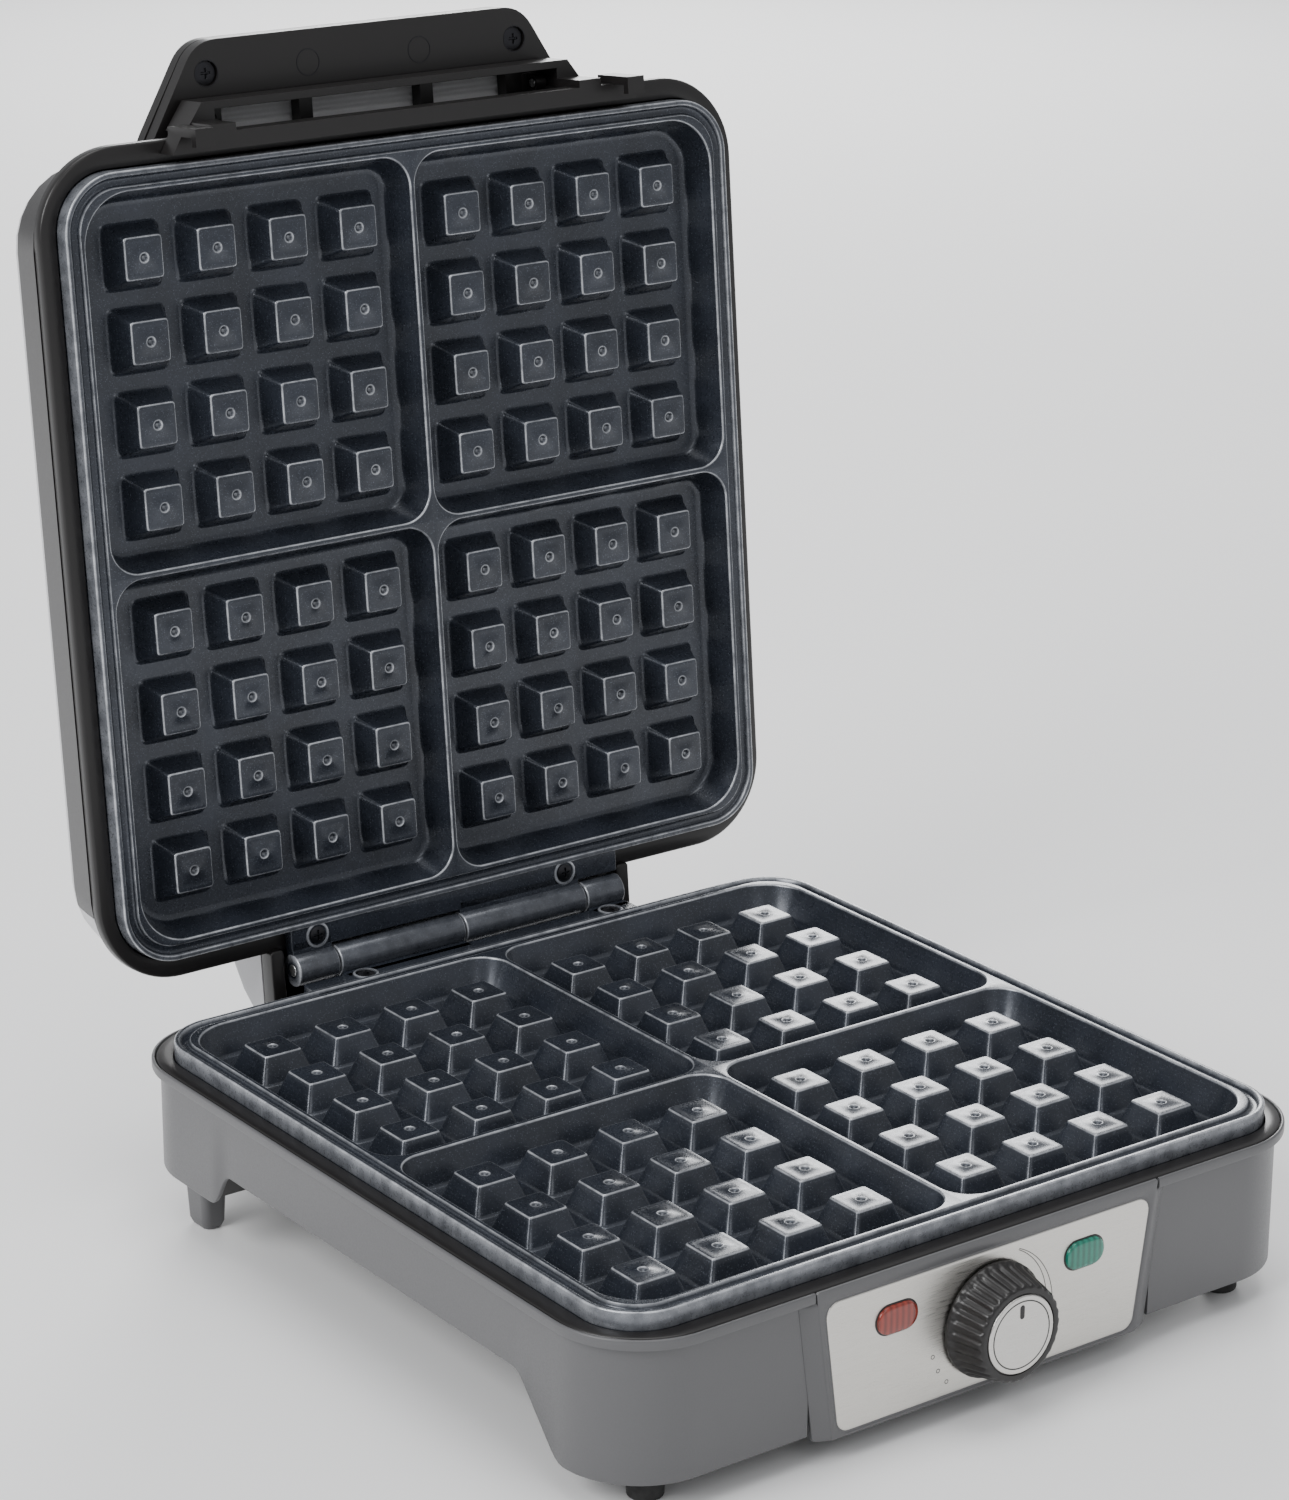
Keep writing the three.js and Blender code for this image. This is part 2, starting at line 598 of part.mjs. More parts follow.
function baseFrameSolid() {
  const opening = centred(PLATE_HALF + EDGE_GAP, PLATE_HALF + EDGE_GAP, PLATE_CORNER + EDGE_GAP);
  const wallOuter = PLATE_HALF + EDGE_GAP + FRAME_WALL;
  const outer = centred(wallOuter, wallOuter, PLATE_CORNER + EDGE_GAP + FRAME_WALL);
  const ledgeInner = centred(wallOuter - FRAME_WALL - LEDGE_WIDTH, wallOuter - FRAME_WALL - LEDGE_WIDTH,
    PLATE_CORNER - LEDGE_WIDTH / 2);
  const ledgeTop = PLATE_UNDERSIDE - SEAT_GAP;
  const flange = ring(caseOutline(LIP_WALL + SEAT_GAP), opening, CASE_TOP - FLANGE_THICKNESS, CASE_TOP);
  const wall = ring(outer, opening, ledgeTop - LEDGE_THICKNESS, CASE_TOP - 1.0);
  const ledge = ring(outer, ledgeInner, ledgeTop - LEDGE_THICKNESS, ledgeTop);
  let frame = union([flange, wall, ledge]);
  for (const x of [-PLATE_SCREW_NEAR, PLATE_SCREW_FAR]) {
    frame = frame.subtract(rod('z', [x, plateScrewY()], CASE_TOP - 9, CASE_TOP + PASS,
      SCREW_SHANK + SEAT_GAP));
  }
  return frame;
}

// ---------------------------------------------------------------- control panel
// Half width of the panel's front face at a height, narrowing towards the table.
function panelHalf(height) {
  const share = (height - PANEL_BOTTOM) / (CASE_TOP - PANEL_BOTTOM);
  return PANEL_BOTTOM_HALF + (PANEL_TOP_HALF - PANEL_BOTTOM_HALF) * share;
}

function panelTrapezoid(extra, bottom, top, side = 0) {
  return [
    new THREE.Vector2(-panelHalf(bottom) - extra + side, bottom),
    new THREE.Vector2(panelHalf(bottom) + extra - side, bottom),
    new THREE.Vector2(panelHalf(top) + extra - side, top),
    new THREE.Vector2(-panelHalf(top) - extra + side, top),
  ];
}

function fasciaOutline(extra) {
  const bottom = PANEL_BOTTOM + FASCIA_MARGIN_BOTTOM;
  const top = CASE_TOP - FASCIA_MARGIN_TOP;
  const corners = [
    [-panelHalf(bottom) + FASCIA_MARGIN_SIDE - extra, bottom - extra],
    [panelHalf(bottom) - FASCIA_MARGIN_SIDE + extra, bottom - extra],
    [panelHalf(top) - FASCIA_MARGIN_SIDE + extra, top + extra],
    [-panelHalf(top) + FASCIA_MARGIN_SIDE - extra, top + extra],
  ];
  return softPolygon(corners, FASCIA_CORNER + extra);
}

function stadium(x, gap, front, rear) {
  const halfLength = LENS_LENGTH / 2 + gap;
  const halfWidth = LENS_WIDTH / 2 + gap;
  const points = roundedBox(x - halfLength, x + halfLength, LENS_HEIGHT - halfWidth,
    LENS_HEIGHT + halfWidth, halfWidth - 0.01);
  return prism(points, front, rear, upright);
}

const fasciaBack = () => CASE_FRONT + FASCIA_THICKNESS - 0.1;

function panelHoles(solid) {
  let cut = solid;
  for (const side of [-1, 1]) {
    cut = cut.subtract(stadium(side * LENS_X, SEAT_GAP, CASE_FRONT - DEEP_PASS,
      CASE_FRONT + PANEL_BACK + DEEP_PASS));
  }
  return cut.subtract(rod('y', [0, KNOB_HEIGHT], CASE_FRONT - DEEP_PASS, CASE_FRONT + PANEL_BACK + DEEP_PASS,
    SHAFT_RADIUS + 1.2));
}

function controlPanelSolid() {
  const flankTop = CASE_TOP - LIP_HEIGHT - SEAT_GAP;
  const flankBack = WALL_FRONT - SEAT_GAP;
  const flangeBottom = CASE_TOP - FLANGE_THICKNESS - SEAT_GAP;
  const boss = loft([
    { points: panelTrapezoid(0, PANEL_BOTTOM, flankTop), level: CASE_FRONT },
    { points: panelTrapezoid(PANEL_FLANK, PANEL_BOTTOM, flankTop), level: flankBack },
  ], upright);
  const header = block(-PANEL_TOP_HALF, PANEL_TOP_HALF, CASE_FRONT, CASE_FRONT + PANEL_BACK,
    flankTop - 1.0, flangeBottom);
  const lip = block(-PANEL_TOP_HALF, PANEL_TOP_HALF, CASE_FRONT, CASE_FRONT + LIP_WALL,
    flankTop, CASE_TOP);
  const back = block(-PANEL_TOP_HALF, PANEL_TOP_HALF, flankBack - 0.5, CASE_FRONT + PANEL_BACK,
    FRONT_WALL_BOTTOM + SEAT_GAP, flangeBottom);
  let panel = union([boss, header, lip, back]);
  for (const side of [-1, 1]) {
    const centre = [side * (BRACKET_SIZE[0] / 2 - BRACKET_POST_RADIUS - 0.5), KNOB_HEIGHT];
    panel = panel.add(rod('y', centre, CASE_FRONT + PANEL_BACK - PASS, bracketFront() - SEAT_GAP,
      BRACKET_POST_RADIUS));
  }
  const recess = prism(fasciaOutline(FASCIA_LINE), CASE_FRONT - 2, fasciaBack() + SEAT_GAP, upright);
  return panelHoles(panel.subtract(recess));
}

const bracketFront = () => CASE_FRONT + THERMOSTAT_SETBACK - BRACKET_THICKNESS - SEAT_GAP;

function lensSolid(x) {
  return stadium(x, 0, CASE_FRONT - LENS_PROUD, CASE_FRONT + PANEL_BACK + 1.0);
}

function lampSolid(x) {
  const front = CASE_FRONT + PANEL_BACK + 1.0 + SEAT_GAP;
  return rod('y', [x, LENS_HEIGHT], front, front + LAMP_LENGTH, LAMP_RADIUS, LAMP_RADIUS, 16);
}

function thermostatSolid() {
  const [width, depth, height] = THERMOSTAT_SIZE;
  const front = CASE_FRONT + THERMOSTAT_SETBACK;
  const body = block(-width / 2, width / 2, front, front + depth, KNOB_HEIGHT - height / 2,
    KNOB_HEIGHT + height / 2);
  return body.subtract(rod('y', [0, KNOB_HEIGHT], front - PASS, front + 7, SHAFT_RADIUS + SEAT_GAP));
}

function bracketSolid() {
  const [width, height] = BRACKET_SIZE;
  const plate = block(-width / 2, width / 2, bracketFront(), bracketFront() + BRACKET_THICKNESS,
    KNOB_HEIGHT - height / 2, KNOB_HEIGHT + height / 2);
  return plate.subtract(rod('y', [0, KNOB_HEIGHT], bracketFront() - PASS, bracketFront() + 3,
    SHAFT_RADIUS + 1.2));
}

// ---------------------------------------------------------------- heating and wiring
function heaterSolid(height) {
  const half = HEATER_HALF;
  const tail = HEATER_TAIL;
  const soft = 12.0;
  const points = [
    [-tail, half + 22, height],
    [-tail, half + 10, height],
    [-tail - soft, half, height],
    [-half + soft, half, height],
    [-half, half - soft, height],
    [-half, -half + soft, height],
    [-half + soft, -half, height],
    [half - soft, -half, height],
    [half, -half + soft, height],
    [half, half - soft, height],
    [half - soft, half, height],
    [tail + soft, half, height],
    [tail, half + 10, height],
    [tail, half + 22, height],
  ];
  return sweep(points, HEATER_RADIUS, 56, 8);
}

function reflectorSolid(bottom, top) {
  const outline = (inset) =>
    centred(REFLECTOR_HALF - inset, REFLECTOR_HALF - inset, REFLECTOR_CORNER - inset);
  const hollow = prism(outline(REFLECTOR_SHEET), bottom + REFLECTOR_SHEET, top + PASS);
  return prism(outline(0), bottom, top).subtract(hollow);
}

function leadSolid(x) {
  const terminalFront = terminalRear() - TERMINAL_SIZE[1] - SEAT_GAP * 2;
  const thermostatBack = CASE_FRONT + THERMOSTAT_SETBACK + THERMOSTAT_SIZE[1] + SEAT_GAP * 3;
  const over = archCoverTop() + LEAD_RADIUS + 0.2;
  const [, frontArch, rearArch] = legLine();
  return sweep([
    [x, terminalFront, over - 6],
    [x, terminalFront - 6, over - 4],
    [x, rearArch[0] + 6, over],
    [x, rearArch[0] - 10, over],
    [x, frontArch[0] + 14, over],
    [x, frontArch[0] - 2, over + 0.2],
    [x, thermostatBack + 4, KNOB_HEIGHT + 2],
    [x, thermostatBack, KNOB_HEIGHT],
  ], LEAD_RADIUS, 26, 6);
}

const terminalRear = () => WALL_REAR - TERMINAL_REAR_GAP;

function glandSolid() {
  const inside = HOUSING_WALL + SEAT_GAP + 2.0;
  const profile = [
    [GLAND.bore, -inside],
    [GLAND.flange, -inside],
    [GLAND.flange, -HOUSING_WALL - SEAT_GAP],
    [GLAND.body, -HOUSING_WALL - SEAT_GAP],
    [GLAND.body, 3.0],
    [GLAND.tip, GLAND.reach],
    [GLAND.bore, GLAND.reach],
    [GLAND.bore, -inside],
  ];
  const points = profile.map(([radius, along]) => new THREE.Vector2(radius, along));
  const geometry = new THREE.LatheGeometry(points, 20);
  geometry.translate(GLAND.x, WALL_REAR, 0);
  geometry.translate(0, 0, GLAND.height);
  return toSolid(geometry);
}

function footSolid(side) {
  const centre = [side * FRONT_FOOT.x, WALL_FRONT + FRONT_FOOT.inset];
  const seat = FRONT_WALL_BOTTOM + COVER_FRONT_RECESS - SEAT_GAP;
  const pad = rod('z', centre, 0, seat, FRONT_FOOT.radius * 0.9, FRONT_FOOT.radius);
  return pad.add(rod('z', centre, seat - PASS, seat + FRONT_FOOT.stemReach, FRONT_FOOT.stem,
    FRONT_FOOT.stem, 12));
}

function rearFootSolid(side) {
  const { x, inset, width, depth, taper } = REAR_FOOT;
  const y = WALL_REAR - inset;
  const seat = REAR_WALL_BOTTOM + COVER_REAR_RECESS - SEAT_GAP;
  const outline = (shrink) => roundedBox(side * x - width / 2 + shrink, side * x + width / 2 - shrink,
    y - depth / 2 + shrink, y + depth / 2 - shrink, width / 4);
  return loft([
    { points: outline(taper * 2), level: 0 },
    { points: outline(taper), level: 2.0 },
    { points: outline(0), level: seat },
  ]);
}

function coverScrewSolid([x, y], underside) {
  const top = underside - SEAT_GAP;
  const head = rod('z', [x, y], top - COVER_SCREW.headHeight, top, COVER_SCREW.head);
  return head.add(rod('z', [x, y], top - 0.5, top + COVER_SCREW.reach, COVER_SCREW.shank,
    COVER_SCREW.shank, 12));
}

addPiece(base, 'base_housing', housingSolid(), 'greySatin');
addPiece(base, 'bottom_cover', bottomCoverSolid(), 'blackPlastic');
addPiece(base, 'base_frame', baseFrameSolid(), 'blackPlastic');
addPiece(base, 'control_panel', controlPanelSolid(), 'greySatin');
addPiece(base, 'panel_fascia', panelHoles(prism(fasciaOutline(0), CASE_FRONT - 0.1, fasciaBack(),
  upright)), 'steel');
addPiece(base, 'red_lens', lensSolid(-LENS_X), 'redLens');
addPiece(base, 'green_lens', lensSolid(LENS_X), 'greenLens');
addPiece(base, 'red_lamp', lampSolid(-LENS_X), 'ceramic');
addPiece(base, 'green_lamp', lampSolid(LENS_X), 'ceramic');
addPiece(base, 'thermostat_body', thermostatSolid(), 'ceramic');
addPiece(base, 'thermostat_bracket', bracketSolid(), 'sheetMetal');
addPiece(base, 'terminal_block', block(-TERMINAL_SIZE[0] / 2, TERMINAL_SIZE[0] / 2,
  terminalRear() - TERMINAL_SIZE[1], terminalRear(), rearCoverTop() + 0.5,
  rearCoverTop() + 0.5 + TERMINAL_SIZE[2]), 'ceramic');
addPiece(base, 'thermostat_lead_left', leadSolid(-LEAD_X), 'ceramic');
addPiece(base, 'thermostat_lead_right', leadSolid(LEAD_X), 'ceramic');
addPiece(base, 'cord_gland', glandSolid(), 'rubber');

const lowerHeaterHeight = PLATE_UNDERSIDE - SEAT_GAP - HEATER_RADIUS;
const lowerTrayTop = lowerHeaterHeight - HEATER_RADIUS - 0.5 + REFLECTOR_RIM;
addPiece(base, 'lower_heater', heaterSolid(lowerHeaterHeight), 'heaterSheath');
addPiece(base, 'lower_reflector', reflectorSolid(lowerTrayTop - REFLECTOR_RIM - REFLECTOR_SHEET,
  lowerTrayTop), 'sheetMetal');
addPiece(base, 'thermal_fuse', rod('x', [0, lowerHeaterHeight], -FUSE_LENGTH / 2, FUSE_LENGTH / 2,
  FUSE_RADIUS, FUSE_RADIUS, 14), 'sheetMetal');

const lowerPlate = new THREE.Group();
lowerPlate.position.set(0, 0, RIM_LOW);
addPiece(lowerPlate, 'lower_plate', plateSolid(HINGE_RISE), 'coatedCast');
addPiece(lowerPlate, 'lower_plate_screw_left', plateScrew(-PLATE_SCREW_NEAR), 'blackScrew');
addPiece(lowerPlate, 'lower_plate_screw_right', plateScrew(PLATE_SCREW_FAR), 'blackScrew');
base.add(lowerPlate);

addPiece(base, 'hinge_pin', rod('x', [AXIS_Y, AXIS_Z], -HINGE_HALF, HINGE_HALF, PIN_RADIUS,
  PIN_RADIUS, 16), 'steel');

for (const [side, label] of [[-1, 'left'], [1, 'right']]) {
  addPiece(base, `front_foot_${label}`, footSolid(side), 'rubber');
  addPiece(base, `rear_foot_${label}`, rearFootSolid(side), 'greySatin');
}
coverScrewPlaces().forEach((place, index) => {
  const underside = index < 2 ? frontCoverTop() - COVER_THICKNESS : rearCoverTop() - COVER_THICKNESS;
  addPiece(base, `bottom_screw_${index + 1}`, coverScrewSolid(place, underside), 'blackScrew');
});

// ---------------------------------------------------------------- knob
const knob = new THREE.Group();
knob.position.set(0, CASE_FRONT, KNOB_HEIGHT);

function knobSolid() {
  const back = -KNOB_GAP;
  const face = back - KNOB_LENGTH;
  const body = rod('y', [0, 0], face, back, KNOB_FACE_RADIUS, KNOB_BACK_RADIUS, 40);
  const recess = rod('y', [0, 0], face - PASS, face + KNOB_RECESS, KNOB_CAP_RADIUS + SEAT_GAP,
    KNOB_CAP_RADIUS + SEAT_GAP, 32);
  const socket = rod('y', [0, 0], face + SOCKET_FLOOR, back + PASS, SHAFT_RADIUS + SEAT_GAP);
  return body.subtract(recess).subtract(socket);
}

function knobCapSolid() {
  const face = -KNOB_GAP - KNOB_LENGTH + KNOB_CAP_SEAT;
  return rod('y', [0, 0], face - KNOB_CAP_THICKNESS, face, KNOB_CAP_RADIUS,
    KNOB_CAP_RADIUS, 32);
}

function shaftSolid() {
  const tip = -KNOB_GAP - KNOB_LENGTH + SOCKET_FLOOR + SEAT_GAP;
  return rod('y', [0, 0], tip, THERMOSTAT_SETBACK + 6.5, SHAFT_RADIUS, SHAFT_RADIUS, 16);
}

addPiece(knob, 'knob_body', knobSolid(), 'blackPlastic');
addPiece(knob, 'knob_cap', knobCapSolid(), 'silver');
addPiece(knob, 'thermostat_shaft', shaftSolid(), 'steel');

// ---------------------------------------------------------------- lid
// Everything below is drawn with the lid closed.
const lid = new THREE.Group();
const lidCentreY = (LID_REAR - LID_FRONT) / 2;
const lidHalfDepth = (LID_REAR + LID_FRONT) / 2;

function lidOutline(inset) {
  return centred(LID_HALF_WIDTH - inset, lidHalfDepth - inset, LID_CORNER - inset / 2, lidCentreY);
}

function lidStack(inset, drop) {
  const sections = [
    { points: lidOutline(inset), level: SKIRT_BOTTOM - (drop > 0 ? 1 : 0) },
    { points: lidOutline(LID_SKIRT_TAPER + inset), level: SKIRT_TOP },
  ];
  let level = SKIRT_TOP;
  for (const [rise, pull] of LID_DOME) {
    level += rise;
    sections.push({ points: lidOutline(LID_SKIRT_TAPER + inset + pull), level: level - drop });
  }
  return loft(sections);
}

const lidShell = () => lidStack(0, 0).subtract(lidStack(LID_WALL, LID_WALL));
function hoodProfile(inset) {
  const top = SKIRT_TOP + 2.7;
  return [
    [LID_REAR - 7.0, top + 2.6 - inset],
    [AXIS_Y - 4.0, top + 1.0 - inset],
    [AXIS_Y + 2.0, top - 1.6 - inset],
    [AXIS_Y + 8.5 - inset * 0.6, top - 5.6 - inset * 0.8],
    [AXIS_Y + 13.5 - inset * 0.8, top - 10.8 - inset * 0.4],
    [AXIS_Y + 16.8 - inset, SKIRT_BOTTOM + 4.0],
    [AXIS_Y + HOOD_REACH - inset, SKIRT_BOTTOM],
  ];
}

function hoodSolid() {
  const outer = hoodProfile(0);
  const rearFoot = [LID_REAR - 7.0, SKIRT_BOTTOM];
  const whole = alongX([...outer, rearFoot], -HOOD_HALF, HOOD_HALF);
  const inner = hoodProfile(HOOD_SHEET);
  const floor = SKIRT_BOTTOM - 5.0;
  const hollow = alongX([
    [LID_REAR - 9.0, inner[0][1]],
    ...inner.slice(0, -1),
    [inner.at(-1)[0], floor],
    [LID_REAR - 9.0, floor],
  ], -HOOD_HALF + HOOD_END_WALL, HOOD_HALF - HOOD_END_WALL);
  return whole.subtract(hollow);
}

function lidCoverSolid() {
  const skirtZone = block(-FAR, FAR, -FAR, LID_REAR_SEAM + SEAT_GAP / 2, 0, SKIRT_TOP + SEAT_GAP);
  const inside = lidStack(LID_WALL, LID_WALL);
  return lidShell().subtract(skirtZone).add(hoodSolid().subtract(inside));
}

function handleOutline(rear) {
  const front = -LID_FRONT - HANDLE_REACH;
  const corners = [
    [-HANDLE_REAR_HALF, rear],
    [-HANDLE_FRONT_HALF, front],
    [HANDLE_FRONT_HALF, front],
    [HANDLE_REAR_HALF, rear],
  ];
  return softPolygon(corners, HANDLE_CORNER);
}

const handleScrewY = () => -LID_FRONT - HANDLE_REACH + HANDLE_SCREW.inset;
const windowRear = () => -LID_FRONT - WINDOW_REAR;
const windowFront = () => windowRear() - WINDOW_DEPTH;
const gripHalf = () => WINDOW_EDGES.at(-1)[1] + GRIP_MARGIN;
const gripBottom = () => HANDLE_FACE + HANDLE_LOWER + SEAT_GAP + 0.1;

// The black side band with the lower half of the handle moulded onto it.
function lidHousingSolid() {
  const skirt = lidShell().intersect(block(-FAR, FAR, -FAR, LID_REAR_SEAM - SEAT_GAP / 2, 0, SKIRT_TOP));
  const top = HANDLE_FACE + HANDLE_LOWER;
  const handle = prism(handleOutline(-LID_FRONT + 4.0), HANDLE_FACE, top);
  const coverRoom = block(-FAR, FAR, -LID_FRONT + LID_SKIRT_TAPER - SEAT_GAP, FAR, SKIRT_TOP - 1.5,
    top + PASS);
  let housing = skirt.add(handle.subtract(lidStack(LID_WALL, LID_WALL)).subtract(coverRoom));
  for (const [left, right] of WINDOW_EDGES) {
    housing = housing.subtract(block(left, right, windowFront(), windowRear(), HANDLE_FACE - PASS,
      top + PASS));
  }
  for (const side of [-1, 1]) {
    const centre = [side * HANDLE_SCREW.x, handleScrewY()];
    const seat = HANDLE_FACE + HANDLE_SCREW.headHeight + SEAT_GAP;
    const headRoom = rod('z', centre, HANDLE_FACE - PASS, seat, HANDLE_SCREW.head + SEAT_GAP);
    const hole = rod('z', centre, HANDLE_FACE - PASS, top + PASS, HANDLE_SCREW.shank + SEAT_GAP);
    housing = housing.subtract(headRoom).subtract(hole);
    const left = Math.min(side * EAR.near, side * EAR.far);
    const right = Math.max(side * EAR.near, side * EAR.far);
    const y = latchPivotY();
    const z = latchPivotZ();
    const ear = block(left, right, y - EAR.half, y + EAR.half, z, HANDLE_FACE + 0.5)
      .add(rod('x', [y, z], left, right, EAR.drop));
    housing = housing.add(ear).subtract(rod('x', [y, z], left - PASS, right + PASS, LATCH_PIN + SEAT_GAP));
  }
  return housing;
}

function handleCoverSolid() {
  const bottom = HANDLE_FACE + HANDLE_LOWER + SEAT_GAP;
  const top = bottom + HANDLE_UPPER;
  const rear = -LID_FRONT + LID_SKIRT_TAPER + 0.5;
  const face = softOutlineInset(handleOutline(rear), 1.5);
  let cover = loft([
    { points: handleOutline(rear), level: bottom },
    { points: handleOutline(rear), level: top - 1.5 },
    { points: face, level: top },
  ]);
  for (const side of [-1, 1]) {
    cover = cover.subtract(rod('z', [side * HANDLE_SCREW.x, handleScrewY()], bottom - PASS,
      HANDLE_FACE + HANDLE_SCREW.headHeight + HANDLE_SCREW.reach + SEAT_GAP,
      HANDLE_SCREW.shank + SEAT_GAP));
  }
  const room = gripHalf() + SEAT_GAP;
  return cover.subtract(block(-room, room, windowFront() - GRIP_MARGIN - SEAT_GAP,
    windowRear() + GRIP_MARGIN + SEAT_GAP, bottom - PASS, gripBottom() + GRIP_THICKNESS + SEAT_GAP));
}

// Pulls every point of an outline towards its centre by a distance.
function softOutlineInset(points, distance) {
  const middle = points.reduce((sum, p) => sum.clone().add(p), new THREE.Vector2())
    .divideScalar(points.length);
  return points.map((p) => p.clone().sub(middle).setLength(
    Math.max(p.distanceTo(middle) - distance, 0)).add(middle));
}

function handleScrewSolid(side) {
  const centre = [side * HANDLE_SCREW.x, handleScrewY()];
  const headTop = HANDLE_FACE + HANDLE_SCREW.headHeight;
  const head = rod('z', centre, HANDLE_FACE, headTop, HANDLE_SCREW.head);
  return head.add(rod('z', centre, headTop - 0.5, headTop + HANDLE_SCREW.reach, HANDLE_SCREW.shank,
    HANDLE_SCREW.shank, 12));
}

function gripInsertSolid() {
  return block(-gripHalf(), gripHalf(), windowFront() - GRIP_MARGIN, windowRear() + GRIP_MARGIN,
    gripBottom(), gripBottom() + GRIP_THICKNESS);
}

function lidFrameSolid() {
  const opening = centred(PLATE_HALF + EDGE_GAP, PLATE_HALF + EDGE_GAP, PLATE_CORNER + EDGE_GAP);
  const outline = (inset) => centred(CASE_HALF_WIDTH - LIP_WALL - SEAT_GAP - inset, FRAME_FRONT - inset,
    CASE_CORNER - LIP_WALL - SEAT_GAP - inset);
  const flange = ring(outline(0), opening, LID_BASE, LID_BASE + LID_FLANGE_THICKNESS);
  const side = ring(outline(0), outline(FRAME_SKIRT_WALL), LID_BASE, LID_BASE + FRAME_SIDE_HEIGHT);
  const wallOuter = PLATE_HALF + EDGE_GAP + FRAME_WALL;
  const outer = centred(wallOuter, wallOuter, PLATE_CORNER + EDGE_GAP + FRAME_WALL);
  const ledgeHalf = wallOuter - FRAME_WALL - LEDGE_WIDTH;
  const ledgeInner = centred(ledgeHalf, ledgeHalf, PLATE_CORNER - LEDGE_WIDTH / 2);
  const ledgeBottom = PLATE_BACK + SEAT_GAP;
  const wall = ring(outer, opening, LID_BASE + 1.0, ledgeBottom + LEDGE_THICKNESS);
  const ledge = ring(outer, ledgeInner, ledgeBottom, ledgeBottom + LEDGE_THICKNESS);
  const railReach = PLATE_HALF - LID_RAIL_REACH;
  const rails = wall.add(ledge).intersect(block(-FAR, FAR, -railReach, railReach, 0, FAR));
  let frame = union([flange, side, rails]);
  const top = LID_BASE + FRAME_SIDE_HEIGHT;
  const rearEdge = AXIS_Y + HOOD_REACH;
  const bottom = AXIS_Z + 1.2;
  for (const sideSign of [-1, 1]) {
    const near = sideSign * (HOOD_HALF - CHEEK_WALL);
    const far = sideSign * HOOD_HALF;
    frame = frame.add(block(Math.min(near, far), Math.max(near, far), FRAME_FRONT - 1.0, rearEdge,
      bottom, top));
  }
  frame = frame.add(block(-HOOD_HALF, HOOD_HALF, rearEdge - HOOD_BEAM, rearEdge, top - 3.0, top));
  for (const x of [PLATE_SCREW_NEAR, -PLATE_SCREW_FAR]) {
    frame = frame.subtract(rod('z', [x, plateScrewY()], LID_BASE - PASS, LID_BASE + 9,
      SCREW_SHANK + SEAT_GAP));
  }
  return frame;
}

// ---------------------------------------------------------------- latch
const latchPivotY = () => -LID_FRONT - LATCH_PIVOT_OUT;
const latchPivotZ = () => RIM_HIGH + LATCH_PIVOT_UP;

// Orders two x values so that a block can be mirrored.
const span = (a, b) => [Math.min(a, b), Math.max(a, b)];

// The lever is drawn hooked under the housing's lip; its spring holds it there on the raised lid.
function latchSolid() {
  const y = latchPivotY();
  const z = latchPivotZ();
  const top = z + LATCH_RISE;
  const bottom = top - LATCH_HEIGHT;
  const front = y - LATCH_OUT;
  const rear = y + LATCH_BLOCK_REAR;
  let lever = block(-LATCH_FRONT_HALF, LATCH_FRONT_HALF, front, front + LATCH_BAR_DEPTH, bottom, top);
  const stripTop = LID_BASE - SEAT_GAP;
  const stripBottom = stripTop - STRIP_HEIGHT;
  const armRear = -FRAME_FRONT - SEAT_GAP;
  const armFront = armRear - LATCH_ARM_DEPTH;
  const stripFront = armRear - STRIP_LAP;
  const strip = [
    new THREE.Vector2(-STRIP_REAR_HALF, stripFront + STRIP_DEPTH),
    new THREE.Vector2(-STRIP_FRONT_HALF, stripFront),
    new THREE.Vector2(STRIP_FRONT_HALF, stripFront),
    new THREE.Vector2(STRIP_REAR_HALF, stripFront + STRIP_DEPTH),
  ];
  lever = lever.add(prism(strip, stripBottom, stripTop));
  const clawRear = CASE_FRONT - CLAW_CLEARANCE;
  const clawFront = clawRear - CLAW_DEPTH;
  const clawTop = CASE_TOP - LIP_HEIGHT - CLAW_GAP;
  const clawBottom = clawTop - CLAW_THICKNESS;
  for (const side of [-1, 1]) {
    const near = side * (EAR.far + EDGE_GAP);
    const end = [
      new THREE.Vector2(near, front),
      new THREE.Vector2(side * LATCH_FRONT_HALF, front),
      new THREE.Vector2(side * LATCH_REAR_HALF, rear),
      new THREE.Vector2(near, rear),
    ];
    lever = lever.add(prism(side > 0 ? end : end.reverse(), bottom, top));
    const [armLeft, armRight] = span(near, near + side * LATCH_ARM_WIDTH);
    lever = lever.add(block(armLeft, armRight, armFront, armRear, stripBottom, bottom + PASS));
    const [clawLeft, clawRight] = span(side * STRIP_FRONT_HALF, side * (STRIP_FRONT_HALF - CLAW_WIDTH));
    lever = lever.add(block(clawLeft, clawRight, clawFront, armRear, stripBottom, stripTop));
    lever = lever.add(block(clawLeft, clawRight, clawFront, clawRear, clawBottom, stripBottom + PASS));
    lever = lever.add(block(clawLeft, clawRight, clawFront, WALL_FRONT - CLAW_GAP, clawBottom, clawTop));
    const [boreLeft, boreRight] = span(near - side * PASS, near + side * (LATCH_PIN_REACH + PASS));
    lever = lever.subtract(rod('x', [y, z], boreLeft, boreRight, LATCH_BORE));
  }
  return lever;
}

function latchPinSolid(side) {
  const [left, right] = span(side * EAR.near, side * (EAR.far + LATCH_PIN_REACH));
  return rod('x', [latchPivotY(), latchPivotZ()], left, right, LATCH_PIN, LATCH_PIN, 12);
}

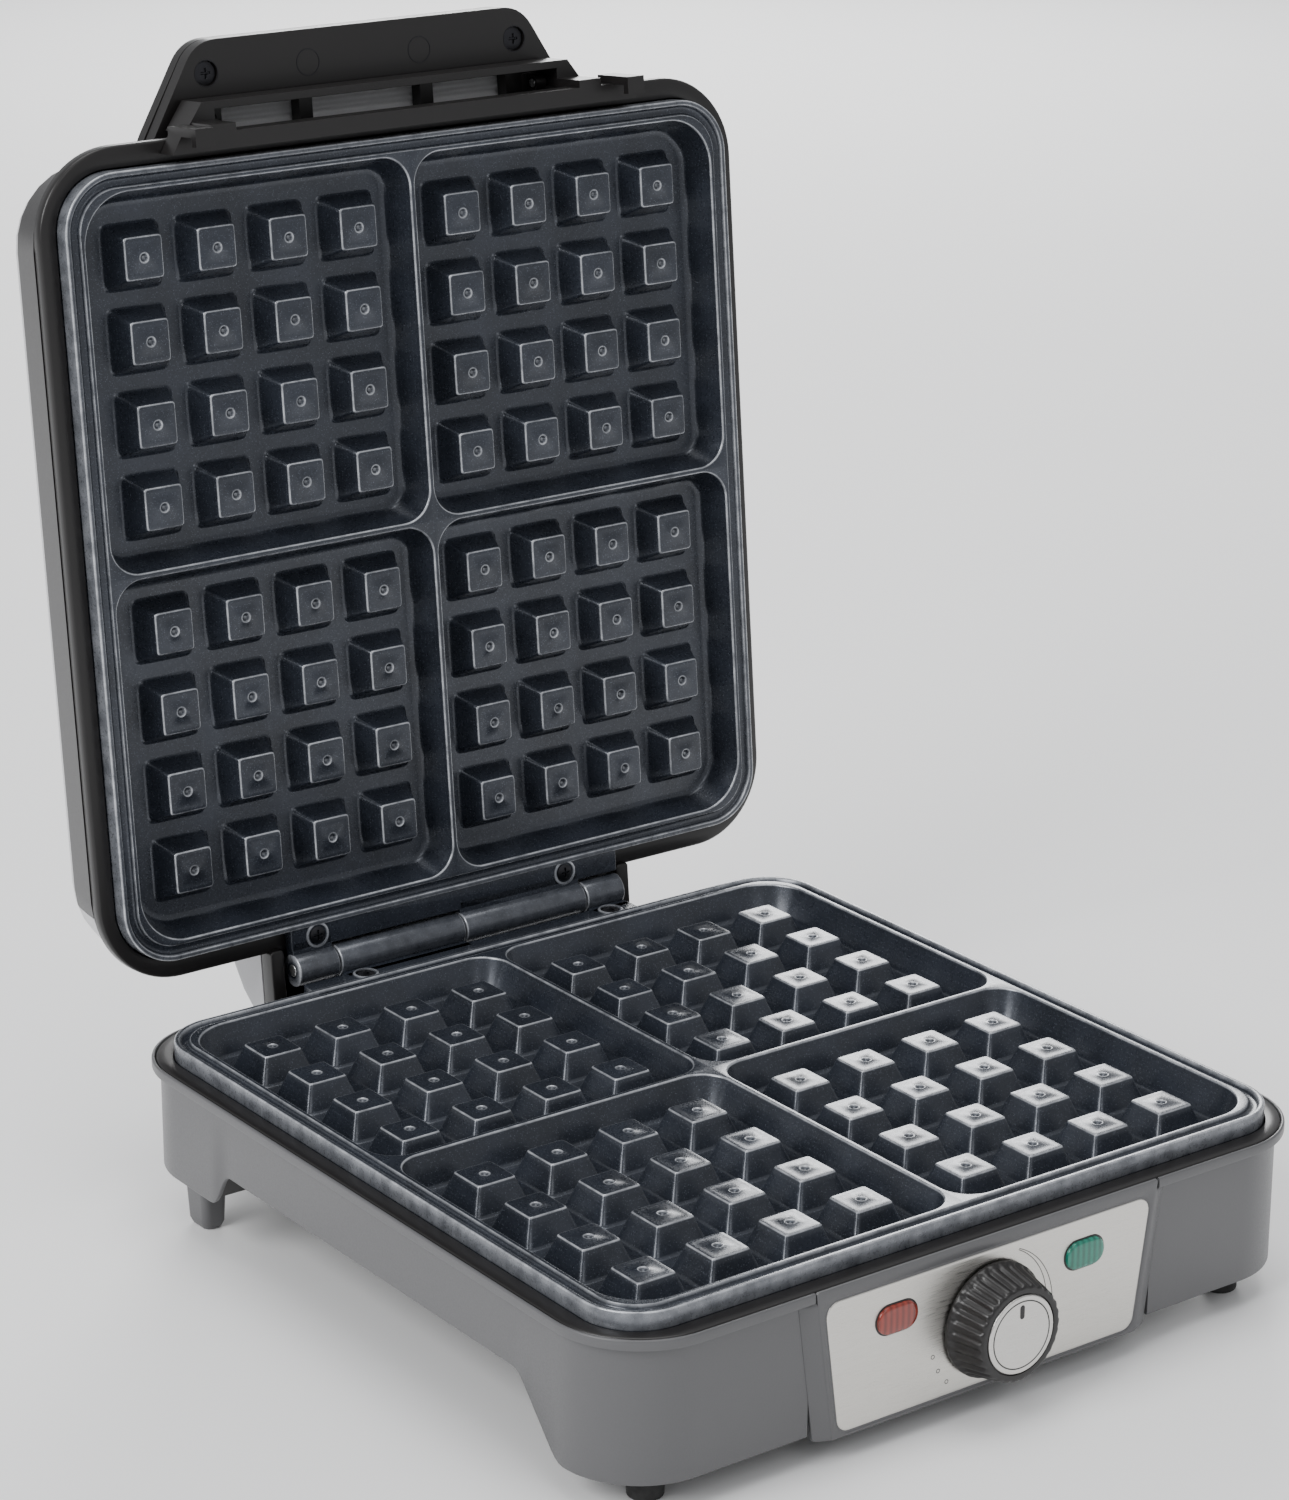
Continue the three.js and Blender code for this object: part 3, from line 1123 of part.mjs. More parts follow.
const upperPlate = new THREE.Group();
upperPlate.position.set(0, 0, RIM_HIGH);
upperPlate.rotation.y = Math.PI;
addPiece(upperPlate, 'upper_plate', plateSolid(RIM_HIGH - AXIS_Z), 'coatedCast');
addPiece(upperPlate, 'upper_plate_screw_right', plateScrew(-PLATE_SCREW_NEAR), 'blackScrew');
addPiece(upperPlate, 'upper_plate_screw_left', plateScrew(PLATE_SCREW_FAR), 'blackScrew');
lid.add(upperPlate);

addPiece(lid, 'lid_frame', lidFrameSolid(), 'blackPlastic');
addPiece(lid, 'lid_housing', lidHousingSolid(), 'blackPlastic');
addPiece(lid, 'lid_cover', lidCoverSolid(), 'silver');
addPiece(lid, 'handle_cover', handleCoverSolid(), 'blackPlastic');
addPiece(lid, 'grip_insert', gripInsertSolid(), 'silver');
addPiece(lid, 'handle_screw_left', handleScrewSolid(-1), 'blackScrew');
addPiece(lid, 'handle_screw_right', handleScrewSolid(1), 'blackScrew');
addPiece(lid, 'latch_pin_left', latchPinSolid(-1), 'steel');
addPiece(lid, 'latch_pin_right', latchPinSolid(1), 'steel');

const upperHeaterHeight = PLATE_BACK + SEAT_GAP + HEATER_RADIUS;
addPiece(lid, 'upper_heater', heaterSolid(upperHeaterHeight), 'heaterSheath');
const upperTrayTop = upperHeaterHeight + HEATER_RADIUS + 0.5 + REFLECTOR_SHEET;
const upperTray = prism(centred(REFLECTOR_HALF, REFLECTOR_HALF, REFLECTOR_CORNER),
  upperTrayTop - REFLECTOR_SHEET, upperTrayTop);
addPiece(lid, 'upper_reflector', upperTray, 'sheetMetal');

const latchPieces = new THREE.Group();
latchPieces.position.set(0, -latchPivotY(), -latchPivotZ());
addPiece(latchPieces, 'latch_lever', latchSolid(), 'blackPlastic');

const latch = new THREE.Group();
latch.position.set(0, latchPivotY(), latchPivotZ());
latch.add(latchPieces);
lid.add(latch);

// ---------------------------------------------------------------- assembly
const lidPivot = new THREE.Group();
lidPivot.position.set(0, AXIS_Y, AXIS_Z);
lidPivot.rotation.x = THREE.MathUtils.degToRad(-OPEN_ANGLE);
lid.position.set(0, -AXIS_Y, -AXIS_Z);
lidPivot.add(lid);

const machine = new THREE.Group();
machine.add(base, knob, lidPivot);
machine.updateMatrixWorld(true);
const bounds = new THREE.Box3().setFromObject(machine, true);

// The origin is at the middle of the footprint of the open machine, on the table.
machine.position.set(
  -(bounds.min.x + bounds.max.x) / 2,
  -(bounds.min.y + bounds.max.y) / 2,
  -bounds.min.z,
);

const wafflemaker = new THREE.Group();
wafflemaker.add(machine);
export default wafflemaker;
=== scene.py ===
"""Looks of an open four-waffle maker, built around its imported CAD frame."""
import json
import logging
import math
from dataclasses import dataclass, field
from enum import Enum
from typing import Sequence

import bmesh
import bpy
import numpy as np
from mathutils import Matrix, Vector


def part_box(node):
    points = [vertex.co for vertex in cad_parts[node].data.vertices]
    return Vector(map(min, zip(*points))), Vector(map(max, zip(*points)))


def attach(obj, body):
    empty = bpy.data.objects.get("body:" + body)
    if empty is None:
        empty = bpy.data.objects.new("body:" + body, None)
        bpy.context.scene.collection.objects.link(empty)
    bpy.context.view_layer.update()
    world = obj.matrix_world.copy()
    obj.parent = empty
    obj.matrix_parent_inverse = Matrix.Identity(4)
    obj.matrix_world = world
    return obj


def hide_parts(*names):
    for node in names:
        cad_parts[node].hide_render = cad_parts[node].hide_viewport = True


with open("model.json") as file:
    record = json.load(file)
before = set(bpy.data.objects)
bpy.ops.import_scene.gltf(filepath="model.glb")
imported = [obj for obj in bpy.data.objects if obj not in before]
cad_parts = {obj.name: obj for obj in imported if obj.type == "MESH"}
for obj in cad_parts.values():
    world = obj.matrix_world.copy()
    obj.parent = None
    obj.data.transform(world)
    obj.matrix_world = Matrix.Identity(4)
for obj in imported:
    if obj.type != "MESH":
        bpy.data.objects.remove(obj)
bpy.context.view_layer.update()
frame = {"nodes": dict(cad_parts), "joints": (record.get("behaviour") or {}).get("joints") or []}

Array = np.ndarray
Colour = tuple[float, float, float]
log = logging.getLogger("waffle_maker")

MM = 0.001


# ------------------------------------------------------------------ places of the moving bodies
class Body(Enum):
    """The CAD bodies that pieces ride on."""

    BASE = "base"
    LID = "lid"
    LATCH = "latch"
    KNOB = "knob"


@dataclass(frozen=True)
class Placement:
    """Carries points from the closed machine, in millimetres, to the open one in metres.

    The machine's own origin is the middle of the cooking plate on the table.
    """

    shift: float
    hinge: tuple[float, float]
    open_angle: float

    @staticmethod
    def from_frame() -> "Placement":
        """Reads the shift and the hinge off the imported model."""
        low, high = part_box("lower_reflector")
        joints = {joint["name"]: joint for joint in frame["joints"]}
        hinge = joints["lid_hinge"]
        return Placement(
            shift=(low.y + high.y) / 2 / MM,
            hinge=(hinge["pos_m"][1] / MM, hinge["pos_m"][2] / MM),
            open_angle=math.radians(hinge["range_deg"][1]),
        )

    @staticmethod
    def turn(points: Array, centre: tuple[float, float], angle: float) -> Array:
        """Turns points about the x axis through centre.

        Args:
            points: Points, one per row.
            centre: The y and z of the axis.
            angle: Radians, right-handed about +X.

        Returns:
            The turned points.
        """
        turned = points.copy()
        dy = points[:, 1] - centre[0]
        dz = points[:, 2] - centre[1]
        turned[:, 1] = centre[0] + dy * math.cos(angle) - dz * math.sin(angle)
        turned[:, 2] = centre[1] + dy * math.sin(angle) + dz * math.cos(angle)
        return turned

    def place(self, points: Array, body: Body) -> Array:
        """Gives the points' places in the row frame, in metres, for a piece of that body."""
        moved = points + np.array([0.0, self.shift, 0.0])
        if body in (Body.LID, Body.LATCH):
            moved = self.turn(moved, self.hinge, -self.open_angle)
        return moved * MM


PLACEMENT = Placement.from_frame()


# ------------------------------------------------------------------ surfaces on grids
class Skin:
    """A growing mesh made of grids of points."""

    def __init__(self) -> None:
        """Starts empty."""
        self.points: list[Array] = []
        self.faces: list[tuple[int, ...]] = []
        # Per point, how much bright highlight is painted on the coating's rims.
        self.painted_highlight: list[Array] = []
        self.count = 0

    def add_grid(
        self,
        grid: Array,
        wrap_rows: bool = False,
        wrap_columns: bool = True,
        cap_start: bool = False,
        cap_end: bool = False,
        painted_highlight: Array | None = None,
    ) -> "Skin":
        """Adds a surface given as a grid of points, with quads between neighbours.

        Args:
            grid: Points as rows by columns by three.
            wrap_rows: Joins the last row to the first.
            wrap_columns: Joins the last column to the first.
            cap_start: Closes the first row with one face.
            cap_end: Closes the last row with one face.
            painted_highlight: One value per row, 1 where a bright highlight is painted on the coating's
                rims.

        Returns:
            This skin.
        """
        rows, columns = grid.shape[:2]
        row = np.arange(rows if wrap_rows else rows - 1)
        column = np.arange(columns if wrap_columns else columns - 1)
        i, j = np.meshgrid(row, column, indexing="ij")
        down, right = (i + 1) % rows, (j + 1) % columns
        quads = np.stack(
            [i * columns + j, i * columns + right, down * columns + right, down * columns + j], axis=-1
        )
        self.faces.extend(map(tuple, (quads.reshape(-1, 4) + self.count).tolist()))
        if cap_start:
            self.faces.append(tuple((np.arange(columns)[::-1] + self.count).tolist()))
        if cap_end:
            self.faces.append(tuple((np.arange(columns) + (rows - 1) * columns + self.count).tolist()))
        self.points.append(grid.reshape(-1, 3))
        values = np.zeros(rows) if painted_highlight is None else painted_highlight
        self.painted_highlight.append(np.repeat(values, columns))
        self.count += rows * columns
        return self

    def add_copies(self, grid: Array, places: Array, painted_highlight: Array | None = None) -> "Skin":
        """Adds the same closed-ended grid at each of the places."""
        for place in places:
            self.add_grid(grid + place, cap_start=True, cap_end=True, painted_highlight=painted_highlight)
        return self

    def all_points(self) -> Array:
        """Gives every point, one per row."""
        return np.concatenate(self.points)

    def turned_over(self, height: float) -> "Skin":
        """Turns the skin half a turn about the y axis and lifts it to a height."""
        self.points = [p * np.array([-1.0, 1.0, -1.0]) + np.array([0.0, 0.0, height]) for p in self.points]
        return self

    def lifted(self, height: float) -> "Skin":
        """Lifts the whole skin by a height."""
        self.points = [p + np.array([0.0, 0.0, height]) for p in self.points]
        return self


def soft_outline(
    corners: Sequence[tuple[float, float]], radii: float | Sequence[float], steps: int = 8
) -> Array:
    """Outline of a convex polygon whose corners are arcs tangent to both sides.

    Each arc swings the vector from its centre to the first tangent point onto the second one,
    by spherical interpolation.

    Args:
        corners: Corners in order.
        radii: One radius, or one for each corner.
        steps: Spans in each arc.

    Returns:
        Points of the outline, one per row.
    """
    corner = np.asarray(corners, float)
    radius = np.maximum(np.broadcast_to(np.asarray(radii, float), len(corner)), 0.01)[:, None]
    before = np.roll(corner, 1, axis=0) - corner
    after = np.roll(corner, -1, axis=0) - corner
    before /= np.linalg.norm(before, axis=1, keepdims=True)
    after /= np.linalg.norm(after, axis=1, keepdims=True)
    half = np.arccos(np.clip((before * after).sum(1), -1, 1))[:, None] / 2
    middle = before + after
    middle /= np.linalg.norm(middle, axis=1, keepdims=True)
    centre = corner + middle * radius / np.sin(half)
    start = corner + before * radius / np.tan(half) - centre
    end = corner + after * radius / np.tan(half) - centre
    sweep = math.pi - 2 * half[:, :, None]
    share = np.linspace(0, 1, steps + 1)[None, :, None]
    from_start = np.sin((1 - share) * sweep) * start[:, None]
    from_end = np.sin(share * sweep) * end[:, None]
    arc = (from_start + from_end) / np.sin(sweep)
    return (centre[:, None] + arc).reshape(-1, 2)


def rectangle(left: float, right: float, front: float, rear: float) -> list[tuple[float, float]]:
    """Corners of a rectangle, anticlockwise from the right rear."""
    return [(right, rear), (left, rear), (left, front), (right, front)]


def rings(outlines: Sequence[Array], levels: Sequence[float], axis: str = "z") -> Array:
    """Stacks flat outlines into a grid, one row each.

    Args:
        outlines: Outlines with the same number of points.
        levels: Where each outline stands along the axis.
        axis: z for outlines in x and y, y for outlines in x and z, x for outlines in y and z.

    Returns:
        The grid of points.
    """
    flat = np.stack(outlines)
    level = np.broadcast_to(np.asarray(levels, float)[:, None], flat.shape[:2])
    first, second = flat[..., 0], flat[..., 1]
    order = {"z": (first, second, level), "y": (first, level, second), "x": (level, first, second)}
    return np.stack(order[axis], axis=-1)


def turned(
    profile: Sequence[tuple[float, float]], axis: str, centre: tuple[float, float], sides: int = 48
) -> Array:
    """Turns a profile of (along, radius) about an axis: each row is one circle.

    Args:
        profile: Distances along the axis with the radius there.
        axis: x, y or z.
        centre: The axis's two other coordinates.
        sides: Points round the circle.

    Returns:
        The grid of points.
    """
    along, radius = np.asarray(profile, float).T
    angle = np.arange(sides) * 2 * math.pi / sides
    first = centre[0] + radius[:, None] * np.cos(angle)
    second = centre[1] + radius[:, None] * np.sin(angle)
    level = np.broadcast_to(along[:, None], first.shape)
    order = {"x": (level, first, second), "y": (first, level, second), "z": (first, second, level)}
    return np.stack(order[axis], axis=-1)


def soft_block(
    left: float, right: float, front: float, rear: float, bottom: float, top: float, radius: float = 1.0,
    edge: float = 0.5
) -> Array:
    """A block with round upright corners and rounded upper and lower edges, as stacked outlines."""
    turn = np.linspace(0, math.pi / 2, 4)
    inset = np.concatenate([edge * (1 - np.sin(turn)), edge * (1 - np.cos(turn))])
    level = np.concatenate([bottom + edge * (1 - np.cos(turn)), top - edge * (1 - np.sin(turn))])
    outlines = [
        soft_outline(
            rectangle(left + i, right - i, front + i, rear - i), max(radius - i, 0.05), 4
        ) for i in inset
    ]
    return rings(outlines, level)


@dataclass(frozen=True)
class RingPath:
    """A round-cornered rectangle with outward normals, anticlockwise from the right side."""

    points: Array
    normals: Array

    @staticmethod
    def around(
        half_x: float, half_y: float, radius: float, centre_y: float = 0.0, arc: int = 14, side: int = 40
    ) -> "RingPath":
        """Makes the path from quarter circles joined by straight runs."""
        points, normals = [], []
        signs = [(1, 1), (-1, 1), (-1, -1), (1, -1)]
        for quarter, (sx, sy) in enumerate(signs):
            angle = (quarter + np.linspace(0, 1, arc + 1)) * math.pi / 2
            normal = np.stack([np.cos(angle), np.sin(angle)], axis=1)
            centre = np.array([sx * (half_x - radius), centre_y + sy * (half_y - radius)])
            points.append(centre + radius * normal)
            normals.append(normal)
            nx, ny = signs[(quarter + 1) % 4]
            corner_middle = np.array([nx * (half_x - radius), centre_y + ny * (half_y - radius)])
            target = corner_middle + radius * normal[-1]
            share = np.linspace(0, 1, side + 1)[1:-1, None]
            points.append(points[-1][-1] * (1 - share) + target * share)
            normals.append(np.repeat(normal[-1:], side - 1, axis=0))
        return RingPath(np.concatenate(points), np.concatenate(normals))

    def open_between(self, keep: Array, ends: Array, end_normals: Array) -> "RingPath":
        """Keeps one run of the path and adds exact ends.

        Args:
            keep: True for the points that stay; they form one run round the path.
            ends: The run's first and last point.
            end_normals: Their normals.

        Returns:
            The open path.
        """
        first = int(np.flatnonzero(keep & ~np.roll(keep, 1))[0])
        order = np.roll(np.arange(len(keep)), -first)
        order = order[keep[order]]
        return RingPath(
            np.concatenate([ends[:1], self.points[order], ends[1:]]),
            np.concatenate([end_normals[:1], self.normals[order], end_normals[1:]]),
        )

    def carry(self, offsets: Sequence[float], levels: Array) -> Array:
        """Carries a profile along the path: each row is the path moved out by one offset.

        Args:
            offsets: How far each profile point stands out from the path.
            levels: Heights, one per profile point, or one per profile point and path point.

        Returns:
            The grid, profile points by path points.
        """
        offset = np.asarray(offsets, float)[:, None, None]
        flat = self.points[None] + self.normals[None] * offset
        height = np.asarray(levels, float)
        if height.ndim == 1:
            height = np.broadcast_to(height[:, None], flat.shape[:2])
        return np.concatenate([flat, height[..., None]], axis=-1)


# ------------------------------------------------------------------ finishes
class NodeBench:
    """Short calls for laying out one material's nodes."""

    def __init__(self, name: str) -> None:
        """Makes an empty node material with one Principled surface."""
        self.material = bpy.data.materials.new(name)
        self.material.use_nodes = True
        self.tree = self.material.node_tree
        self.surface = self.tree.nodes["Principled BSDF"]
        self.place = self.add("ShaderNodeTexCoord").outputs["Object"]

    def add(self, kind: str, **inputs: object) -> bpy.types.Node:
        """Adds a node and sets or links its inputs, named with underscores for spaces."""
        node = self.tree.nodes.new(kind)
        for key, value in inputs.items():
            socket = node.inputs[key.replace("_", " ")]
            if isinstance(value, bpy.types.NodeSocket):
                self.tree.links.new(value, socket)
            else:
                socket.default_value = value
        return node

    def spot(self, scale: tuple[float, float, float] = (1, 1, 1)) -> bpy.types.NodeSocket:
        """Object coordinates stretched by scale."""
        mapping = self.add("ShaderNodeMapping", Vector=self.place)
        mapping.inputs["Scale"].default_value = scale
        return mapping.outputs["Vector"]

    def noise(
        self, scale: float, detail: float = 3.0, stretch: tuple[float, float, float] = (1, 1, 1)
    ) -> bpy.types.NodeSocket:
        """A noise value; scale is in patches per metre."""
        return self.add(
            "ShaderNodeTexNoise", Vector=self.spot(stretch), Scale=scale, Detail=detail
        ).outputs["Fac"]

    def spread(
        self, value: bpy.types.NodeSocket, low: float, high: float,
        source: tuple[float, float] = (0.3, 0.7)
    ) -> bpy.types.NodeSocket:
        """Maps a value from the source range to low..high."""
        node = self.add("ShaderNodeMapRange", Value=value)
        for key, number in (
            ("From Min", source[0]), ("From Max", source[1]), ("To Min", low), ("To Max", high)
        ):
            node.inputs[key].default_value = number
        return node.outputs["Result"]

    def blend(self, share: object, first: object, second: object, mode: str = "MIX") -> bpy.types.NodeSocket:
        """Mixes two colours."""
        node = self.tree.nodes.new("ShaderNodeMix")
        node.data_type = "RGBA"
        node.blend_type = mode
        for socket, value in ((node.inputs[0], share), (node.inputs[6], first), (node.inputs[7], second)):
            if isinstance(value, bpy.types.NodeSocket):
                self.tree.links.new(value, socket)
            else:
                socket.default_value = value if isinstance(value, float) else (*value, 1.0)
        return node.outputs[2]

    def bump(
        self, height: bpy.types.NodeSocket, depth: float, strength: float = 1.0,
        under: bpy.types.NodeSocket | None = None
    ) -> bpy.types.NodeSocket:
        """A bump; depth is in metres."""
        node = self.add("ShaderNodeBump", Height=height)
        node.inputs["Distance"].default_value = depth
        node.inputs["Strength"].default_value = strength
        if under is not None:
            self.tree.links.new(under, node.inputs["Normal"])
        return node.outputs["Normal"]

    def dress(self, **sockets: object) -> bpy.types.Material:
        """Sets or links the surface's sockets and gives the material back."""
        for key, value in sockets.items():
            socket = self.surface.inputs[key.replace("_", " ")]
            if isinstance(value, bpy.types.NodeSocket):
                self.tree.links.new(value, socket)
            else:
                socket.default_value = (*value, 1.0) if isinstance(
                    value, tuple
                ) and len(value) == 3 else value
        return self.material


@dataclass(frozen=True)
class MouldedPlastic:
    """Injection-moulded plastic with a fine spark-eroded grain and faint cloudiness."""

    name: str
    colour: Colour
    roughness: float
    grain_pitch: float = 0.5
    grain_depth: float = 0.02
    cloud: float = 0.06
    coat: float = 0.0

    def material(self) -> bpy.types.Material:
        """Builds the node material."""
        bench = NodeBench(self.name)
        grain = bench.noise(1 / (self.grain_pitch * MM), 2.0)
        cloud = bench.noise(18.0, 4.0)
        dark = tuple(c * (1 - self.cloud) for c in self.colour)
        light = tuple(min(c * (1 + self.cloud), 1.0) for c in self.colour)
        colour = bench.blend(bench.spread(cloud, 0.0, 1.0), dark, light)
        fine = bench.blend(bench.spread(grain, 0.0, 0.25), colour, tuple(c * 0.82 for c in self.colour))
        rough = bench.spread(grain, self.roughness - 0.05, self.roughness + 0.05)
        return bench.dress(
            Base_Color=fine, Roughness=rough, Normal=bench.bump(grain, self.grain_depth * MM),
            Coat_Weight=self.coat,
            Coat_Roughness=0.25,
        )


@dataclass(frozen=True)
class SpeckledCoat:
    """Dark non-stick coating with bright metal flakes, and a thin, patchy highlight painted bright along its
    rims.
    """

    name: str
    colour: Colour = (0.024, 0.029, 0.040)
    flake_pitch: float = 0.42

    def material(self) -> bpy.types.Material:
        """Builds the node material; a mesh attribute marks the rims where a bright highlight is painted."""
        bench = NodeBench(self.name)
        cells = bench.add("ShaderNodeTexVoronoi", Vector=bench.spot(), Scale=1 / (self.flake_pitch * MM))
        size = bench.add("ShaderNodeSeparateColor", Color=cells.outputs["Color"]).outputs["Red"]
        chosen = bench.spread(size, 0.0, 1.0, (0.55, 1.0))
        dot = bench.spread(cells.outputs["Distance"], 1.0, 0.0, (0.12, 0.42))
        flake = bench.add("ShaderNodeMath")
        flake.operation = "MULTIPLY"
        bench.tree.links.new(chosen, flake.inputs[0])
        bench.tree.links.new(dot, flake.inputs[1])
        cloud = bench.spread(bench.noise(60.0, 5.0), 0.0, 1.0)
        ground = bench.blend(
            cloud, tuple(c * 0.8 for c in self.colour), tuple(c * 1.35 for c in self.colour)
        )
        speckled = bench.blend(flake.outputs[0], ground, (0.15, 0.17, 0.21))
        # Painted highlight: the mesh attribute, broken up by patchy noise, mixes a pale colour into the
        # rims.
        painted_highlight = bench.add("ShaderNodeAttribute")
        painted_highlight.attribute_name = "painted_highlight"
        patchy = bench.spread(bench.noise(240.0, 4.0), 0.35, 1.0)
        highlight_amount = bench.add("ShaderNodeMath")
        highlight_amount.operation = "MULTIPLY"
        bench.tree.links.new(painted_highlight.outputs["Fac"], highlight_amount.inputs[0])
        bench.tree.links.new(patchy, highlight_amount.inputs[1])
        colour = bench.blend(highlight_amount.outputs[0], speckled, (0.62, 0.64, 0.68))
        rough = bench.spread(bench.noise(900.0, 3.0), 0.24, 0.36)
        grit = bench.bump(bench.noise(1400.0, 3.0), 0.02 * MM, 0.6)
        return bench.dress(
            Base_Color=colour, Metallic=0.45, Roughness=rough, Normal=grit, Coat_Weight=0.45,
            Coat_Roughness=0.22
        )


@dataclass(frozen=True)
class BrushedMetal:
    """Metal with long fine brush marks in one direction."""

    name: str
    colour: Colour
    roughness: float
    stretch: tuple[float, float, float] = (0.02, 1.0, 1.0)
    mark_pitch: float = 0.12
    depth: float = 0.01

    def material(self) -> bpy.types.Material:
        """Builds the node material."""
        bench = NodeBench(self.name)
        marks = bench.noise(1 / (self.mark_pitch * MM), 4.0, self.stretch)
        soft = bench.noise(1 / (self.mark_pitch * MM * 8), 3.0, self.stretch)
        tone = bench.blend(bench.spread(marks, 0.0, 1.0), tuple(c * 0.86 for c in self.colour), self.colour)
        tone = bench.blend(bench.spread(soft, 0.0, 0.3), tone, tuple(c * 0.9 for c in self.colour))
        rough = bench.spread(marks, self.roughness - 0.06, self.roughness + 0.1)
        return bench.dress(
            Base_Color=tone, Metallic=1.0, Roughness=rough,
            Normal=bench.bump(marks, self.depth * MM, 0.6), Anisotropic=0.6
        )


@dataclass(frozen=True)
class TintedLens:
    """Glossy translucent plastic over a ribbed diffuser."""

    name: str
    colour: Colour

    def material(self) -> bpy.types.Material:
        """Builds the node material; ribs run upright, about one a millimetre."""
        bench = NodeBench(self.name)
        ribs = bench.add("ShaderNodeTexWave", Vector=bench.spot(), Scale=160.0, Distortion=0.0)
        ribs.bands_direction = "X"
        rib = ribs.outputs["Fac"]
        tone = bench.blend(rib, tuple(c * 0.45 for c in self.colour), self.colour)
        cloud = bench.blend(
            bench.spread(bench.noise(300.0, 2.0), 0.0, 0.3), tone, tuple(c * 0.7 for c in self.colour)
        )
        return bench.dress(
            Base_Color=cloud, Roughness=0.18, Transmission_Weight=0.25, IOR=1.49, Coat_Weight=0.6,
            Coat_Roughness=0.05,
            Subsurface_Weight=0.1, Normal=bench.bump(rib, 0.05 * MM, 0.25),
        )


@dataclass(frozen=True)
class SoftRubber:
    """Matt black rubber, slightly dusty."""

    name: str
    colour: Colour = (0.018, 0.018, 0.018)

    def material(self) -> bpy.types.Material:
        """Builds the node material."""
        bench = NodeBench(self.name)
        dust = bench.spread(bench.noise(220.0, 5.0), 0.0, 0.5)
        tone = bench.blend(dust, self.colour, tuple(c * 2.2 for c in self.colour))
        return bench.dress(
            Base_Color=tone, Roughness=bench.spread(bench.noise(500.0), 0.7, 0.9),
            Normal=bench.bump(bench.noise(1500.0), 0.03 * MM)
        )


class Finish(Enum):
    """Every finish of the machine, with the record's slot that it belongs to."""

    HOUSING = (
        "housing_grey",
        MouldedPlastic("satin_grey", (0.098, 0.098, 0.102), 0.40, 0.45, 0.012, 0.03, 0.12)
    )
    BLACK = (
        "black_plastic",
        MouldedPlastic("black_moulding", (0.0090, 0.0080, 0.0080), 0.33, 0.35, 0.01, 0.1)
    )
    PLATE = ("plate_coating", SpeckledCoat("speckled_coating"))
    SILVER = (
        "lid_silver", MouldedPlastic("silver_lacquer", (0.46, 0.46, 0.475), 0.34, 0.3, 0.006, 0.03, 0.3)
    )
    FASCIA = ("fascia_steel", BrushedMetal("brushed_fascia", (0.70, 0.68, 0.64), 0.30))
    CAP = ("cap_steel", BrushedMetal("brushed_cap", (0.68, 0.665, 0.64), 0.28))
    # The insert is silver; its colour is raised to near white, part silver and part painted sheen for its
    # bright reflection.
    GRIP = ("grip_metal", MouldedPlastic("bright_grip", (0.86, 0.86, 0.87), 0.22, 0.6, 0.003, 0.02, 0.4))
    RED = ("red_lens", TintedLens("red_lens_tint", (0.42, 0.045, 0.025)))
    GREEN = ("green_lens", TintedLens("green_lens_tint", (0.005, 0.30, 0.20)))
    FOOT = ("foot_rubber", SoftRubber("foot_rubber_black"))
    BUSH = ("bush_rubber", SoftRubber("bush_rubber_black", (0.022, 0.022, 0.022)))
    SCREW = ("screw_black", BrushedMetal("blackened_screw", (0.045, 0.045, 0.05), 0.38, (1.0, 1.0, 1.0)))
    PIN = ("pin_steel", BrushedMetal("plain_rod", (0.55, 0.55, 0.55), 0.3))
    HEATER = (
        "heater_sheath", BrushedMetal("scaled_sheath", (0.16, 0.145, 0.13), 0.55, (1.0, 1.0, 1.0), 0.8)
    )
    SHEET = ("reflector_sheet", BrushedMetal("rolled_sheet", (0.70, 0.71, 0.72), 0.35))
    CERAMIC = ("ceramic", MouldedPlastic("cream_moulding", (0.62, 0.57, 0.48), 0.5))
    SLEEVE = ("lead_sleeve", MouldedPlastic("woven_sleeve", (0.55, 0.51, 0.43), 0.85, 0.8, 0.1, 0.15))

    @property
    def slot(self) -> str:
        """The record's material slot."""
        return self.value[0]


